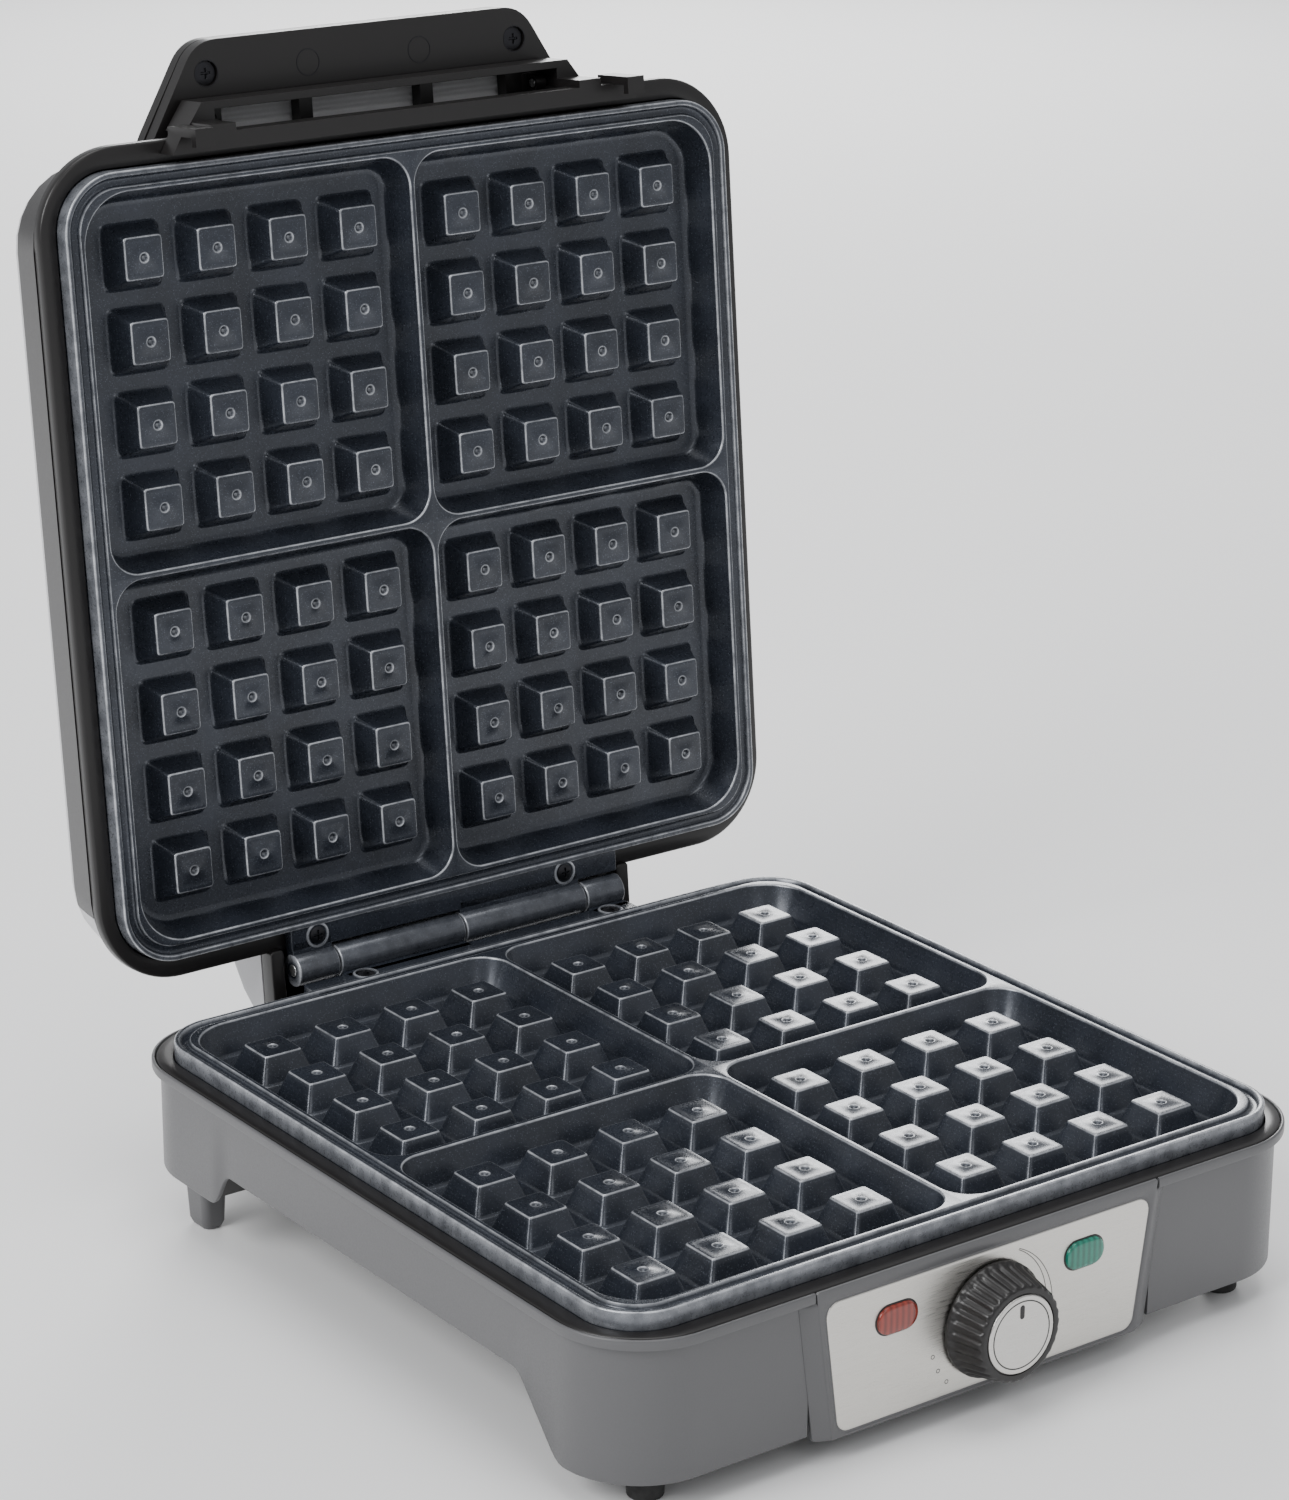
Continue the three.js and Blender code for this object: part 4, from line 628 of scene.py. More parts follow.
@dataclass
class Workshop:
    """Makes objects out of skins and CAD copies, and dresses them."""

    made: dict[Finish, bpy.types.Material] = field(default_factory=dict)

    def material(self, finish: Finish) -> bpy.types.Material:
        """Gives the finish's material, built once."""
        if finish not in self.made:
            self.made[finish] = finish.value[1].material()
        return self.made[finish]

    def register(self, piece: bpy.types.Object, body: Body, finish: Finish, replaced: Sequence[str]) -> None:
        """Puts a finished piece on its body with its finish, and hides the nodes it stands for."""
        piece.data.materials.clear()
        piece.data.materials.append(self.material(finish))
        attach(piece, body.value)
        if replaced:
            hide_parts(*replaced)
        log.info("%s rides on %s, %d faces", piece.name, body.value, len(piece.data.polygons))

    def piece(
        self, name: str, skin: Skin, body: Body, finish: Finish,
        replaced: Sequence[str] = (), sharp: float = 50.0,
    ) -> bpy.types.Object:
        """Makes one piece out of a skin given in millimetres on the closed machine.

        Args:
            name: The piece's name.
            skin: Its surface.
            body: What it rides on.
            finish: Its finish.
            replaced: CAD nodes that it stands for.
            sharp: Edges bent by more degrees than this stay sharp.

        Returns:
            The object.
        """
        mesh = bpy.data.meshes.new(name)
        points = PLACEMENT.place(skin.all_points(), body)
        mesh.from_pydata(points.tolist(), [], skin.faces)
        # Stores the painted rim highlight per point, for the coating material to mix in.
        painted_highlight = mesh.attributes.new("painted_highlight", "FLOAT", "POINT")
        painted_highlight.data.foreach_set("value", np.concatenate(skin.painted_highlight).astype(np.float32))
        shape = bmesh.new()
        shape.from_mesh(mesh)
        bmesh.ops.remove_doubles(shape, verts=shape.verts, dist=1e-7)
        bmesh.ops.recalc_face_normals(shape, faces=shape.faces)
        shape.to_mesh(mesh)
        shape.free()
        mesh.shade_smooth()
        mesh.set_sharp_from_angle(angle=math.radians(sharp))
        piece = bpy.data.objects.new(name, mesh)
        bpy.context.scene.collection.objects.link(piece)
        self.register(piece, body, finish, replaced)
        return piece

    def softened(
        self, node: str, name: str, body: Body, finish: Finish,
        edge: float = 0.5, segments: int = 3, merged: bool = True,
    ) -> bpy.types.Object:
        """Copies a CAD node, merges its triangles and rounds its edges.

        Args:
            node: The CAD node that the piece stands for.
            name: The new piece's name.
            body: What it rides on.
            finish: Its finish.
            edge: Width of the rounding in millimetres.
            segments: Spans across the rounding.
            merged: Whether flat triangles are joined; a face with windows in it keeps its triangles.

        Returns:
            The object.
        """
        mesh = frame["nodes"][node].data.copy()
        mesh.name = name
        for attribute in [a.name for a in mesh.attributes if a.name == "custom_normal"]:
            mesh.attributes.remove(mesh.attributes[attribute])
        shape = bmesh.new()
        shape.from_mesh(mesh)
        bmesh.ops.remove_doubles(shape, verts=shape.verts, dist=2e-6)
        if merged:
            bmesh.ops.dissolve_limit(
                shape, angle_limit=math.radians(1.0), verts=shape.verts, edges=shape.edges,
                use_dissolve_boundaries=False
            )
        shape.to_mesh(mesh)
        shape.free()
        mesh.shade_smooth()
        piece = bpy.data.objects.new(name, mesh)
        bpy.context.scene.collection.objects.link(piece)
        bevel = piece.modifiers.new("rounded_edges", "BEVEL")
        bevel.width = edge * MM
        bevel.segments = segments
        bevel.limit_method = "ANGLE"
        bevel.angle_limit = math.radians(32)
        bevel.use_clamp_overlap = True
        bevel.miter_outer = "MITER_ARC"
        normals = piece.modifiers.new("even_shading", "WEIGHTED_NORMAL")
        normals.weight = 80
        normals.keep_sharp = False
        self.register(piece, body, finish, [node])
        return piece

    def dress_node(self, node: str, finish: Finish) -> None:
        """Gives a CAD node that stays visible its finish."""
        mesh = frame["nodes"][node].data
        mesh.materials.clear()
        mesh.materials.append(self.material(finish))


# ------------------------------------------------------------------ the machine's sub-assemblies
@dataclass(frozen=True)
class Levels:
    """Heights and outlines that several sub-assemblies share, in millimetres."""

    parting: float = 56.0
    rim_gap: float = 0.3
    plate_half: float = 115.6
    plate_corner: float = 17.0
    case_front: float = -122.8
    case_rear: float = 124.3
    case_half: float = 122.5
    case_corner: float = 27.0
    case_top: float = 51.1
    axis_y: float = 128.2
    axis_z: float = 57.9


LEVELS = Levels()


@dataclass
class CookingPlate:
    """One cast plate with four pockets of sixteen square studs."""

    pitch: float = 24.0
    first_stud: float = 18.3
    stud_top: float = 6.1
    stud_base: float = 8.9
    stud_drop: float = 1.9
    depth: float = 9.9
    wall_slope: float = 3.2
    divider: float = 0.8
    margin: float = 5.9
    inner_radius: float = 9.3
    outer_radius: float = 15.0
    thickness: float = 12.6
    web_half: float = 60.0
    web_reach: float = 6.6
    barrel_radius: float = 5.0
    barrel_bore: float = 2.3
    short_barrel: float = 14.1
    screw_places: tuple[float, float] = (-40.0, 51.0)

    def studs(self) -> tuple[Array, Array, Array]:
        """One stud as rings from its foot to the dimple in its top, and the places of all studs.

        The rings are squares with round corners that shrink with height; above the top edge they
        turn into circles that sink into the dimple.

        Returns:
            The grid of one stud, the painted highlight of each ring and the places.
        """
        slope = (self.stud_base - self.stud_top) / (self.depth - self.stud_drop)
        top = -self.stud_drop
        # The last column is how much bright highlight is painted on each ring, most at the stud's top edge.
        side = [
            (self.stud_base + 1.1, -self.depth - 0.05, 3.0, 0.0),
            (self.stud_base + 0.45, -self.depth + 0.2, 2.4, 0.0),
            (self.stud_base + 0.02, -self.depth + 0.8, 1.9, 0.0),
            (self.stud_top + slope * 2.0, top - 2.0, 1.3, 0.0),
            (self.stud_top + slope * 0.5, top - 0.5, 1.1, 0.0),
            (self.stud_top, top - 0.22, 1.0, 0.8),
            (self.stud_top - 0.16, top - 0.05, 0.95, 0.8),
            (self.stud_top - 0.4, top, 0.9, 0.0),
            (self.stud_top - 1.4, top, 0.8, 0.0),
        ]
        share = np.array([0.0, 0.4, 0.7, 0.86, 0.94, 1.0, 1.06, 1.14, 1.3, 1.6])
        angle = (np.arange(4)[:, None] * 2 + share[None]).ravel() * math.pi / 4
        circle = np.stack([np.cos(angle), np.sin(angle)], axis=1)
        levels = [z for _, z, _, _ in side]
        painted_highlight = [w for _, _, _, w in side]
        outlines = []
        for half, _, roundness, _ in side:
            power = 2 + 2.2 * half / roundness
            outlines.append(circle * half / (np.abs(circle) ** power).sum(1, keepdims=True) ** (1 / power))
        # Rings sinking into the dimple; the third number is the bright highlight painted on each, most at
        # the dimple's edge.
        for radius, sink, highlight_amount in (
            (1.75, 0.0, 0.0), (1.55, -0.1, 0.5), (1.35, -0.06, 0.9), (1.1, 0.3, 0.1), (0.7, 0.62, 0.0),
            (0.3, 0.72, 0.3)
        ):
            outlines.append(circle * radius)
            levels.append(top - sink)
            painted_highlight.append(highlight_amount)
        places = self.first_stud + self.pitch * np.arange(4)
        places = np.concatenate([-places[::-1], places])
        x, y = np.meshgrid(places, places)
        return rings(outlines, levels), np.array(painted_highlight), np.stack(
            [x.ravel(), y.ravel(), np.zeros(x.size)], axis=1
        )

    def pocket(self, sign_x: int, sign_y: int) -> tuple[Array, Array]:
        """A quarter of the top face with its pocket, as rings from the quarter's edge to the floor.

        The rings run over the flat land, round the rim, down the sloping wall, round the foot of
        the wall and across the floor.

        Returns:
            The grid and the painted highlight of each ring.
        """
        far = LEVELS.plate_half - self.margin
        land = LEVELS.plate_half - 4.9

        def ring(near: float, end: float, inner: float, outer: float) -> Array:
            left, right = (near, end) if sign_x > 0 else (-end, -near)
            front, rear = (near, end) if sign_y > 0 else (-end, -near)
            quarters = ((1, 1), (-1, 1), (-1, -1), (1, -1))
            radii = [outer if quarter == (sign_x, sign_y) else inner for quarter in quarters]
            return soft_outline(rectangle(left, right, front, rear), radii, 12)

        # The last number is how much bright highlight is painted on each ring, at the pocket's rim.
        insets = [(-0.45, 0.0, 0.0), (-0.2, -0.05, 0.8), (0.02, -0.25, 0.8), (0.14, -0.6, 0.0)]
        insets += [
            (self.wall_slope - 0.35, -self.depth + 1.3, 0.0),
            (self.wall_slope + 0.15, -self.depth + 0.45, 0.0)
        ]
        insets += [
            (self.wall_slope + 0.8, -self.depth + 0.08, 0.0), (self.wall_slope + 2.0, -self.depth, 0.0)
        ]
        outlines = [ring(0.0, land, 0.01, LEVELS.plate_corner - 4.9)]
        levels, painted_highlight = [0.0], [0.0]
        for inset, level, highlight_amount in insets:
            outlines.append(
                ring(self.divider + inset, far - inset, self.inner_radius - inset, self.outer_radius - inset)
            )
            levels.append(level)
            painted_highlight.append(highlight_amount)
        return rings(outlines, levels), np.array(painted_highlight)

    def edge(self) -> tuple[Array, Array]:
        """The outer wall, the raised rim and the spill groove, carried round the plate's outline."""
        path = RingPath.around(LEVELS.plate_half, LEVELS.plate_half, LEVELS.plate_corner, side=6, arc=16)
        # The last number is how much bright highlight is painted at each point, most on the edges of the
        # raised rim and the groove.
        profile = [
            (-30.0, -self.thickness, 0.0), (-1.0, -self.thickness, 0.0), (-0.2, -self.thickness + 0.3, 0.0),
            (0.0, -self.thickness + 1.0, 0.0), (0.0, -5.2, 0.0), (0.0, -4.9, 0.35), (0.0, -0.5, 0.35),
            (-0.1, -0.15, 0.9), (-0.35, 0.0, 0.8), (-0.6, 0.0, 0.1), (-1.2, 0.0, 0.1), (-1.42, -0.08, 0.8),
            (-1.6, -0.4, 0.5), (-1.85, -1.0, 0.0), (-2.2, -1.4, 0.0), (-2.7, -1.5, 0.0), (-3.6, -1.5, 0.0),
            (-4.1, -1.35, 0.0), (-4.35, -0.9, 0.0), (-4.5, -0.35, 0.5), (-4.65, -0.05, 0.8),
            (-4.9, 0.0, 0.0),
        ]
        offsets, levels, painted_highlight = zip(*profile)
        return path.carry(offsets, np.array(levels)), np.array(painted_highlight)

    def hinge(self, axis_height: float) -> Skin:
        """The rear flange, the webs and the two hollow barrels."""
        skin = Skin()
        edge = LEVELS.plate_half
        top, bottom = -0.6, -4.6
        skin.add_grid(
            soft_block(
                -self.web_half, self.web_half, edge - 2, edge + self.web_reach, bottom, top, 0.6, 0.35
            ),
            cap_start=True, cap_end=True,
        )
        start = self.web_half - self.short_barrel
        for left, right in ((-start + 0.6, -0.3), (start, self.web_half)):
            skin.add_grid(
                soft_block(left + 0.2, right - 0.2, edge + 4, LEVELS.axis_y, bottom, top, 0.5, 0.3),
                cap_start=True, cap_end=True
            )
            barrel = [
                (left, self.barrel_bore), (left, self.barrel_radius - 0.5),
                (left + 0.15, self.barrel_radius - 0.12),
                (left + 0.5, self.barrel_radius), (right - 0.5, self.barrel_radius),
                (right - 0.15, self.barrel_radius - 0.12), (right, self.barrel_radius - 0.5),
                (right, self.barrel_bore),
            ]
            # Bright highlight painted on the rounded ends of the barrel.
            painted_highlight = np.array([0.0, 0.6, 0.8, 0.1, 0.1, 0.8, 0.6, 0.0])
            skin.add_grid(turned(barrel, "x", (LEVELS.axis_y, axis_height)), wrap_rows=True, painted_highlight=painted_highlight)
        for x in self.screw_places:
            seat = [
                (top - 1.0, 4.1), (top + 0.25, 4.0), (top + 0.45, 3.7), (top + 0.45, 3.2),
                (top - 0.6, 3.1), (top - 1.0, 2.9)
            ]
            # Bright highlight painted on the rim of the screw seat.
            skin.add_grid(
                turned(seat, "z", (x, edge + 3.0)), wrap_rows=True,
                painted_highlight=np.array([0, 0.3, 0.8, 0.5, 0, 0.0])
            )
        return skin

    def skin(self, axis_height: float) -> Skin:
        """The whole casting with its rim plane at zero and its pockets facing up."""
        skin = self.hinge(axis_height)
        grid, painted_highlight = self.edge()
        skin.add_grid(grid, cap_start=True, painted_highlight=painted_highlight)
        for sign_x in (-1, 1):
            for sign_y in (-1, 1):
                quarter, highlight_amount = self.pocket(sign_x, sign_y)
                skin.add_grid(quarter, cap_end=True, painted_highlight=highlight_amount)
        stud, highlight_amount, places = self.studs()
        return skin.add_copies(stud, places, highlight_amount)


@dataclass
class CrossScrew:
    """A small black screw with a cross recess, turned about the z axis."""

    radius: float = 2.6
    rise: float = 0.9

    def skin(self, x: float, y: float, seat: float) -> Skin:
        """The head: a low dome whose height drops inside the cross's two bars."""
        share = np.linspace(1.0, 0.02, 22)[:, None]
        angle = np.arange(72)[None] * 2 * math.pi / 72
        px = self.radius * share * np.cos(angle)
        py = self.radius * share * np.sin(angle)
        dome = self.rise * (1 - 0.55 * share**2)
        bar = 0.36
        reach = 1.55
        across = np.maximum(np.abs(px) - bar, np.abs(py) - reach)
        along = np.maximum(np.abs(py) - bar, np.abs(px) - reach)
        inside = np.clip(-np.minimum(across, along) / 0.12, 0, 1)
        top = np.stack([px + x, py + y, seat + dome - 0.7 * inside], axis=-1)
        skin = Skin()
        foot = top[:1].copy()
        foot[..., 2] = seat - 0.8
        skin.add_grid(np.concatenate([foot, top]), cap_start=True, cap_end=True)
        return skin


@dataclass
class PlatePair:
    """Both cooking plates with their screws and the hinge pin."""

    shop: Workshop
    plate: CookingPlate = field(default_factory=CookingPlate)

    def build(self) -> None:
        """Builds the lower plate on the base and the upper plate on the lid."""
        low, high = LEVELS.parting, LEVELS.parting + LEVELS.rim_gap
        lower = self.plate.skin(LEVELS.axis_z - low).lifted(low)
        self.shop.piece("cooking_plate_lower", lower, Body.BASE, Finish.PLATE, ["lower_plate"])
        upper = self.plate.skin(high - LEVELS.axis_z).turned_over(high)
        self.shop.piece("cooking_plate_upper", upper, Body.LID, Finish.PLATE, ["upper_plate"])
        names = ("left", "right")
        for index, x in enumerate(self.plate.screw_places):
            y = LEVELS.plate_half + 3.0
            head = CrossScrew().skin(x, y, -0.75)
            self.shop.piece(
                f"plate_screw_lower_{names[index]}", head.lifted(low), Body.BASE, Finish.SCREW,
                [f"lower_plate_screw_{names[index]}"]
            )
            head = CrossScrew().skin(x, y, -0.75).turned_over(high)
            other = names[1 - index]
            self.shop.piece(
                f"plate_screw_upper_{other}", head, Body.LID, Finish.SCREW, [f"upper_plate_screw_{other}"]
            )
        self.shop.softened("hinge_pin", "hinge_rod", Body.BASE, Finish.PIN, 0.3)


@dataclass
class CaseShell:
    """The grey case: a wall that follows the legs and the arches, under an overhanging lip."""

    lip_inset: float = 2.5
    wall: float = 1.5
    lip_drop: float = 3.0
    front_bottom: float = 9.0
    rear_bottom: float = 17.3
    arch: float = 28.6
    front_leg: float = -93.3
    front_arch: float = -76.0
    rear_arch: float = 69.0
    rear_leg: float = 75.0
    gap_half: float = 59.6

    def underside(self, y: Array) -> Array:
        """Height of the wall's lower edge at each y, with the arch's corners smoothed."""
        places = np.array([-200, self.front_leg, self.front_arch, self.rear_arch, self.rear_leg, 200.0])
        heights = np.repeat([self.front_bottom, self.arch, self.rear_bottom], 2)
        spread = np.linspace(-2.2, 2.2, 9)
        return np.interp(y[:, None] + spread, places, heights).mean(1)

    def build(self, shop: Workshop) -> None:
        """Carries the wall's section round the case, leaving the gap for the control panel."""
        half_y = (LEVELS.case_rear - LEVELS.case_front) / 2
        centre_y = (LEVELS.case_rear + LEVELS.case_front) / 2
        path = RingPath.around(LEVELS.case_half, half_y, LEVELS.case_corner, centre_y, arc=18, side=120)
        front = path.points[:, 1] < LEVELS.case_front + 0.01
        keep = ~(front & (np.abs(path.points[:, 0]) < self.gap_half))
        ends = np.array([[self.gap_half, LEVELS.case_front], [-self.gap_half, LEVELS.case_front]])
        path = path.open_between(keep, ends, np.array([[0.0, -1.0], [0.0, -1.0]]))
        low = self.underside(path.points[:, 1])
        top = LEVELS.case_top
        lip = top - self.lip_drop
        outer, inner = -self.lip_inset, -self.lip_inset - self.wall
        profile = [
            (inner, 0.5, 1), (inner + 0.3, 0.08, 1), (outer - 0.5, 0.0, 1), (outer - 0.15, 0.12, 1),
            (outer, 0.5, 1),
            (outer, lip - 1.2, 0), (outer + 0.1, lip - 0.5, 0), (outer + 0.5, lip - 0.12, 0), (-0.6, lip, 0),
            (-0.15, lip + 0.12, 0), (0.0, lip + 0.5, 0), (0.0, top - 0.5, 0), (-0.12, top - 0.15, 0),
            (-0.4, top, 0),
            (-0.75, top, 0), (-0.95, top - 0.2, 0), (-1.0, top - 1.9, 0), (inner + 0.2, top - 1.95, 0),
            (inner, top - 2.4, 0),
        ]
        offsets, base, weight = (np.array(column, float) for column in zip(*profile))
        levels = base[:, None] + weight[:, None] * low[None]
        skin = Skin().add_grid(path.carry(offsets, levels), wrap_rows=True, wrap_columns=False)
        rows, columns = len(profile), len(path.points)
        skin.faces.append(tuple(range(0, rows * columns, columns)))
        skin.faces.append(tuple(range(columns - 1, rows * columns, columns))[::-1])
        shop.piece("case_shell", skin, Body.BASE, Finish.HOUSING, ["base_housing"])


@dataclass
class PlateFrames:
    """The black frames that hold the plates in the case and in the lid."""

    shop: Workshop
    opening: float = 116.0
    opening_corner: float = 17.4
    wall: float = 0.9
    lower_outer: tuple[float, float, float] = (121.2, 122.25, 25.7)
    upper_outer: tuple[float, float, float] = (121.2, 122.3, 25.7)
    ledge: tuple[float, float, float] = (107.0, 43.1, 40.7)
    lid_base: float = 61.2
    cheek: tuple[float, float] = (61.6, 66.2)
    beam_rear: float = 146.4

    @staticmethod
    def carried(rows: Sequence[tuple[RingPath, float, float]]) -> Array:
        """Stacks paths, each moved out by an offset and lifted to a level.

        Args:
            rows: A path, an offset and a level for each row; all paths have the same number of points.

        Returns:
            The grid of points.
        """
        return np.stack(
            [
                np.insert(path.points + path.normals * offset, 2, level, axis=1)
                for path, offset, level in rows
            ]
        )

    def build(self) -> None:
        """Builds the frame in the case and the frame in the lid."""
        inner = RingPath.around(self.opening, self.opening, self.opening_corner, arc=18, side=24)
        half_x, half_y, corner = self.lower_outer
        outer = RingPath.around(half_x, half_y, corner, 0.75, arc=18, side=24)
        half, shelf, under = self.ledge
        ledge = RingPath.around(half, half, 12.5, arc=18, side=24)
        top = LEVELS.case_top
        rows = [
            (outer, 0, top - 1.6), (outer, 0, top - 0.5), (outer, -0.15, top - 0.15), (outer, -0.5, top),
            (inner, 0.4, top), (inner, 0.1, top - 0.1), (inner, 0, top - 0.4), (inner, 0, shelf),
            (ledge, 0, shelf),
            (ledge, 0, under), (inner, self.wall, under), (inner, self.wall, top - 1.6),
        ]
        skin = Skin().add_grid(self.carried(rows), wrap_rows=True)
        self.shop.piece("case_frame", skin, Body.BASE, Finish.BLACK, ["base_frame"])
        half_x, half_y, corner = self.upper_outer
        outer = RingPath.around(half_x, half_y, corner, arc=18, side=24)
        base = self.lid_base
        rows = [
            (outer, 0, base + 3.6), (outer, 0, base + 0.8), (outer, -0.23, base + 0.23), (outer, -0.8, base),
            (inner, 0.4, base), (inner, 0.1, base + 0.1), (inner, 0, base + 0.4), (inner, 0, base + 8.0),
            (inner, self.wall, base + 8.0), (inner, self.wall, base + 2.4), (outer, -1.9, base + 2.4),
            (outer, -1.9, base + 4.0), (outer, -0.3, base + 4.0),
        ]
        skin = Skin().add_grid(self.carried(rows), wrap_rows=True)
        near, far = self.cheek
        for left, right in ((near, far), (-far, -near)):
            cheek = soft_block(left, right, half_y - 1.0, self.beam_rear, base - 2.1, base + 4.0, 1.2, 0.6)
            skin.add_grid(cheek, cap_start=True, cap_end=True)
        beam = soft_block(
            -far + 1, far - 1, self.beam_rear - 3.0, self.beam_rear, base + 1.0, base + 4.0, 0.8, 0.4
        )
        skin.add_grid(beam, cap_start=True, cap_end=True)
        self.shop.piece("lid_frame_moulding", skin, Body.LID, Finish.BLACK, ["lid_frame"])


@dataclass
class ControlFront:
    """The slanted control panel with its steel fascia, lenses, dial marks and knob."""

    shop: Workshop
    top_half: float = 59.3
    bottom_half: float = 53.4
    bottom: float = 7.0
    flank: float = 4.5
    lens_x: float = 32.6
    lens_z: float = 36.7
    lens_size: tuple[float, float] = (13.4, 8.0)
    knob_z: float = 26.9

    def half_at(self, height: float) -> float:
        """Half the panel's width at a height."""
        share = (height - self.bottom) / (LEVELS.case_top - self.bottom)
        return self.bottom_half + (self.top_half - self.bottom_half) * share

    def outline(self, extra: float, bottom: float, top: float, radius: float) -> Array:
        """The panel's trapezoid between two heights, widened by extra."""
        low, high = self.half_at(bottom) + extra, self.half_at(top) + extra
        return soft_outline([(high, top), (-high, top), (-low, bottom), (low, bottom)], radius, 6)

    def fascia_outline(self, grow: float) -> Array:
        """The steel plate's trapezoid, grown all round."""
        bottom, top = self.bottom + 1.7, LEVELS.case_top - 4.2
        low, high = self.half_at(bottom) - 2.3 + grow, self.half_at(top) - 2.3 + grow
        corners = [(high, top + grow), (-high, top + grow), (-low, bottom - grow), (low, bottom - grow)]
        return soft_outline(corners, 4.0 + grow, 6)

    def build(self) -> None:
        """Builds the panel and everything on it."""
        self.build_panel()
        self.build_fascia()
        for side, name, finish in ((-1, "red", Finish.RED), (1, "green", Finish.GREEN)):
            self.build_lens(side * self.lens_x, name, finish)
        self.build_marks()
        self.build_knob()

    def build_panel(self) -> None:
        """The grey boss: flanks that slant out of the wall and a flush face with a recess."""
        face, top, bottom = LEVELS.case_front, LEVELS.case_top, self.bottom
        skin = Skin()
        shelf = top - 2.1
        rows = [
            (self.outline(-0.2, bottom, shelf, 0.8), face + 4.8),
            (self.outline(-0.1, bottom, shelf, 0.8), face + 1.0),
            (self.outline(-0.1, bottom, top - 0.3, 0.8), face + 0.98),
            (self.outline(0.0, bottom, top, 0.8), face + 0.7),
            (self.outline(-0.12, bottom + 0.15, top - 0.15, 0.8), face + 0.15),
            (self.outline(-0.5, bottom + 0.5, top - 0.5, 0.8), face),
            (self.fascia_outline(0.75), face), (self.fascia_outline(0.55), face + 0.15),
            (self.fascia_outline(0.5), face + 1.0),
        ]
        skin.add_grid(rings([r for r, _ in rows], [y for _, y in rows], "y"), cap_start=True, cap_end=True)
        flank_top = top - 3.3
        flanks = [
            (self.outline(self.flank, bottom, flank_top, 1.2), face + 3.4),
            (self.outline(self.flank, bottom, flank_top, 1.2), face + 2.4),
            (self.outline(self.flank - 0.5, bottom, flank_top, 1.2), face + 2.0),
            (self.outline(0.25, bottom + 0.1, flank_top, 1.2), face + 0.35),
            (self.outline(-0.4, bottom + 0.4, flank_top, 1.2), face + 0.12),
        ]
        skin.add_grid(
            rings([r for r, _ in flanks], [y for _, y in flanks], "y"), cap_start=True, cap_end=True
        )
        self.shop.piece("panel_boss", skin, Body.BASE, Finish.HOUSING, ["control_panel"])

    def build_fascia(self) -> None:
        """The brushed plate, with its edge turned back."""
        face = LEVELS.case_front
        rows = [(0.0, 0.5), (0.0, 0.05), (-0.08, -0.06), (-0.3, -0.1), (-1.0, -0.1)]
        grid = rings([self.fascia_outline(g) for g, _ in rows], [face + y for _, y in rows], "y")
        skin = Skin().add_grid(grid, cap_start=True, cap_end=True)
        self.shop.piece("fascia_plate", skin, Body.BASE, Finish.FASCIA, ["panel_fascia"])

    def lens_outline(self, x: float, grow: float) -> Array:
        """The lens's stadium outline, grown all round."""
        half, high = self.lens_size[0] / 2 + grow, self.lens_size[1] / 2 + grow
        corners = rectangle(x - half, x + half, self.lens_z - high, self.lens_z + high)
        return soft_outline(corners, high - 0.01, 10)

    def build_lens(self, x: float, name: str, finish: Finish) -> None:
        """A stadium lens with a softly crowned front in a dark surround."""
        face = LEVELS.case_front
        rows = [(0.0, 5.0), (0.0, -0.7), (-0.15, -1.0), (-0.5, -1.2), (-1.2, -1.3), (-2.6, -1.38)]
        grid = rings([self.lens_outline(x, g) for g, _ in rows], [face + y for _, y in rows], "y")
        self.shop.piece(
            f"lamp_lens_{name}", Skin().add_grid(grid, cap_start=True, cap_end=True), Body.BASE, finish,
            [f"{name}_lens"]
        )
        rows = [(0.5, 0.3), (0.5, -0.16), (0.4, -0.22), (-0.3, -0.22)]
        grid = rings([self.lens_outline(x, g) for g, _ in rows], [face + y for _, y in rows], "y")
        self.shop.piece(
            f"lens_surround_{name}", Skin().add_grid(grid, cap_start=True, cap_end=True), Body.BASE,
            Finish.BLACK
        )

    def build_marks(self) -> None:
        """Printed dial marks: a tapering arc for rising heat and three small rings."""
        face = LEVELS.case_front - 0.1
        skin = Skin()
        angle = np.radians(np.linspace(62, -4, 40))
        width = np.linspace(0.35, 2.3, 40)
        for inner, outer in ((0.0, 0.22), (1.0, 0.22)):
            radius = 19.4 + width * inner
            low = np.stack([radius * np.cos(angle), radius * np.sin(angle) + self.knob_z], axis=1)
            high = np.stack(
                [(radius + outer) * np.cos(angle), (radius + outer) * np.sin(angle) + self.knob_z],
                axis=1
            )
            loop = np.concatenate([low, high[::-1]])
            skin.add_grid(rings([loop, loop], [face + 0.05, face - 0.03], "y"), cap_start=True, cap_end=True)
        for place in np.radians([196.0, 210.0, 224.0]):
            centre = (20.6 * math.cos(place), self.knob_z + 20.6 * math.sin(place))
            ring = [(face + 0.05, 0.65), (face - 0.03, 0.65), (face - 0.03, 0.45), (face + 0.05, 0.45)]
            skin.add_grid(turned(ring, "y", centre, 20), wrap_rows=True)
        self.shop.piece("dial_marks", skin, Body.BASE, Finish.BLACK)

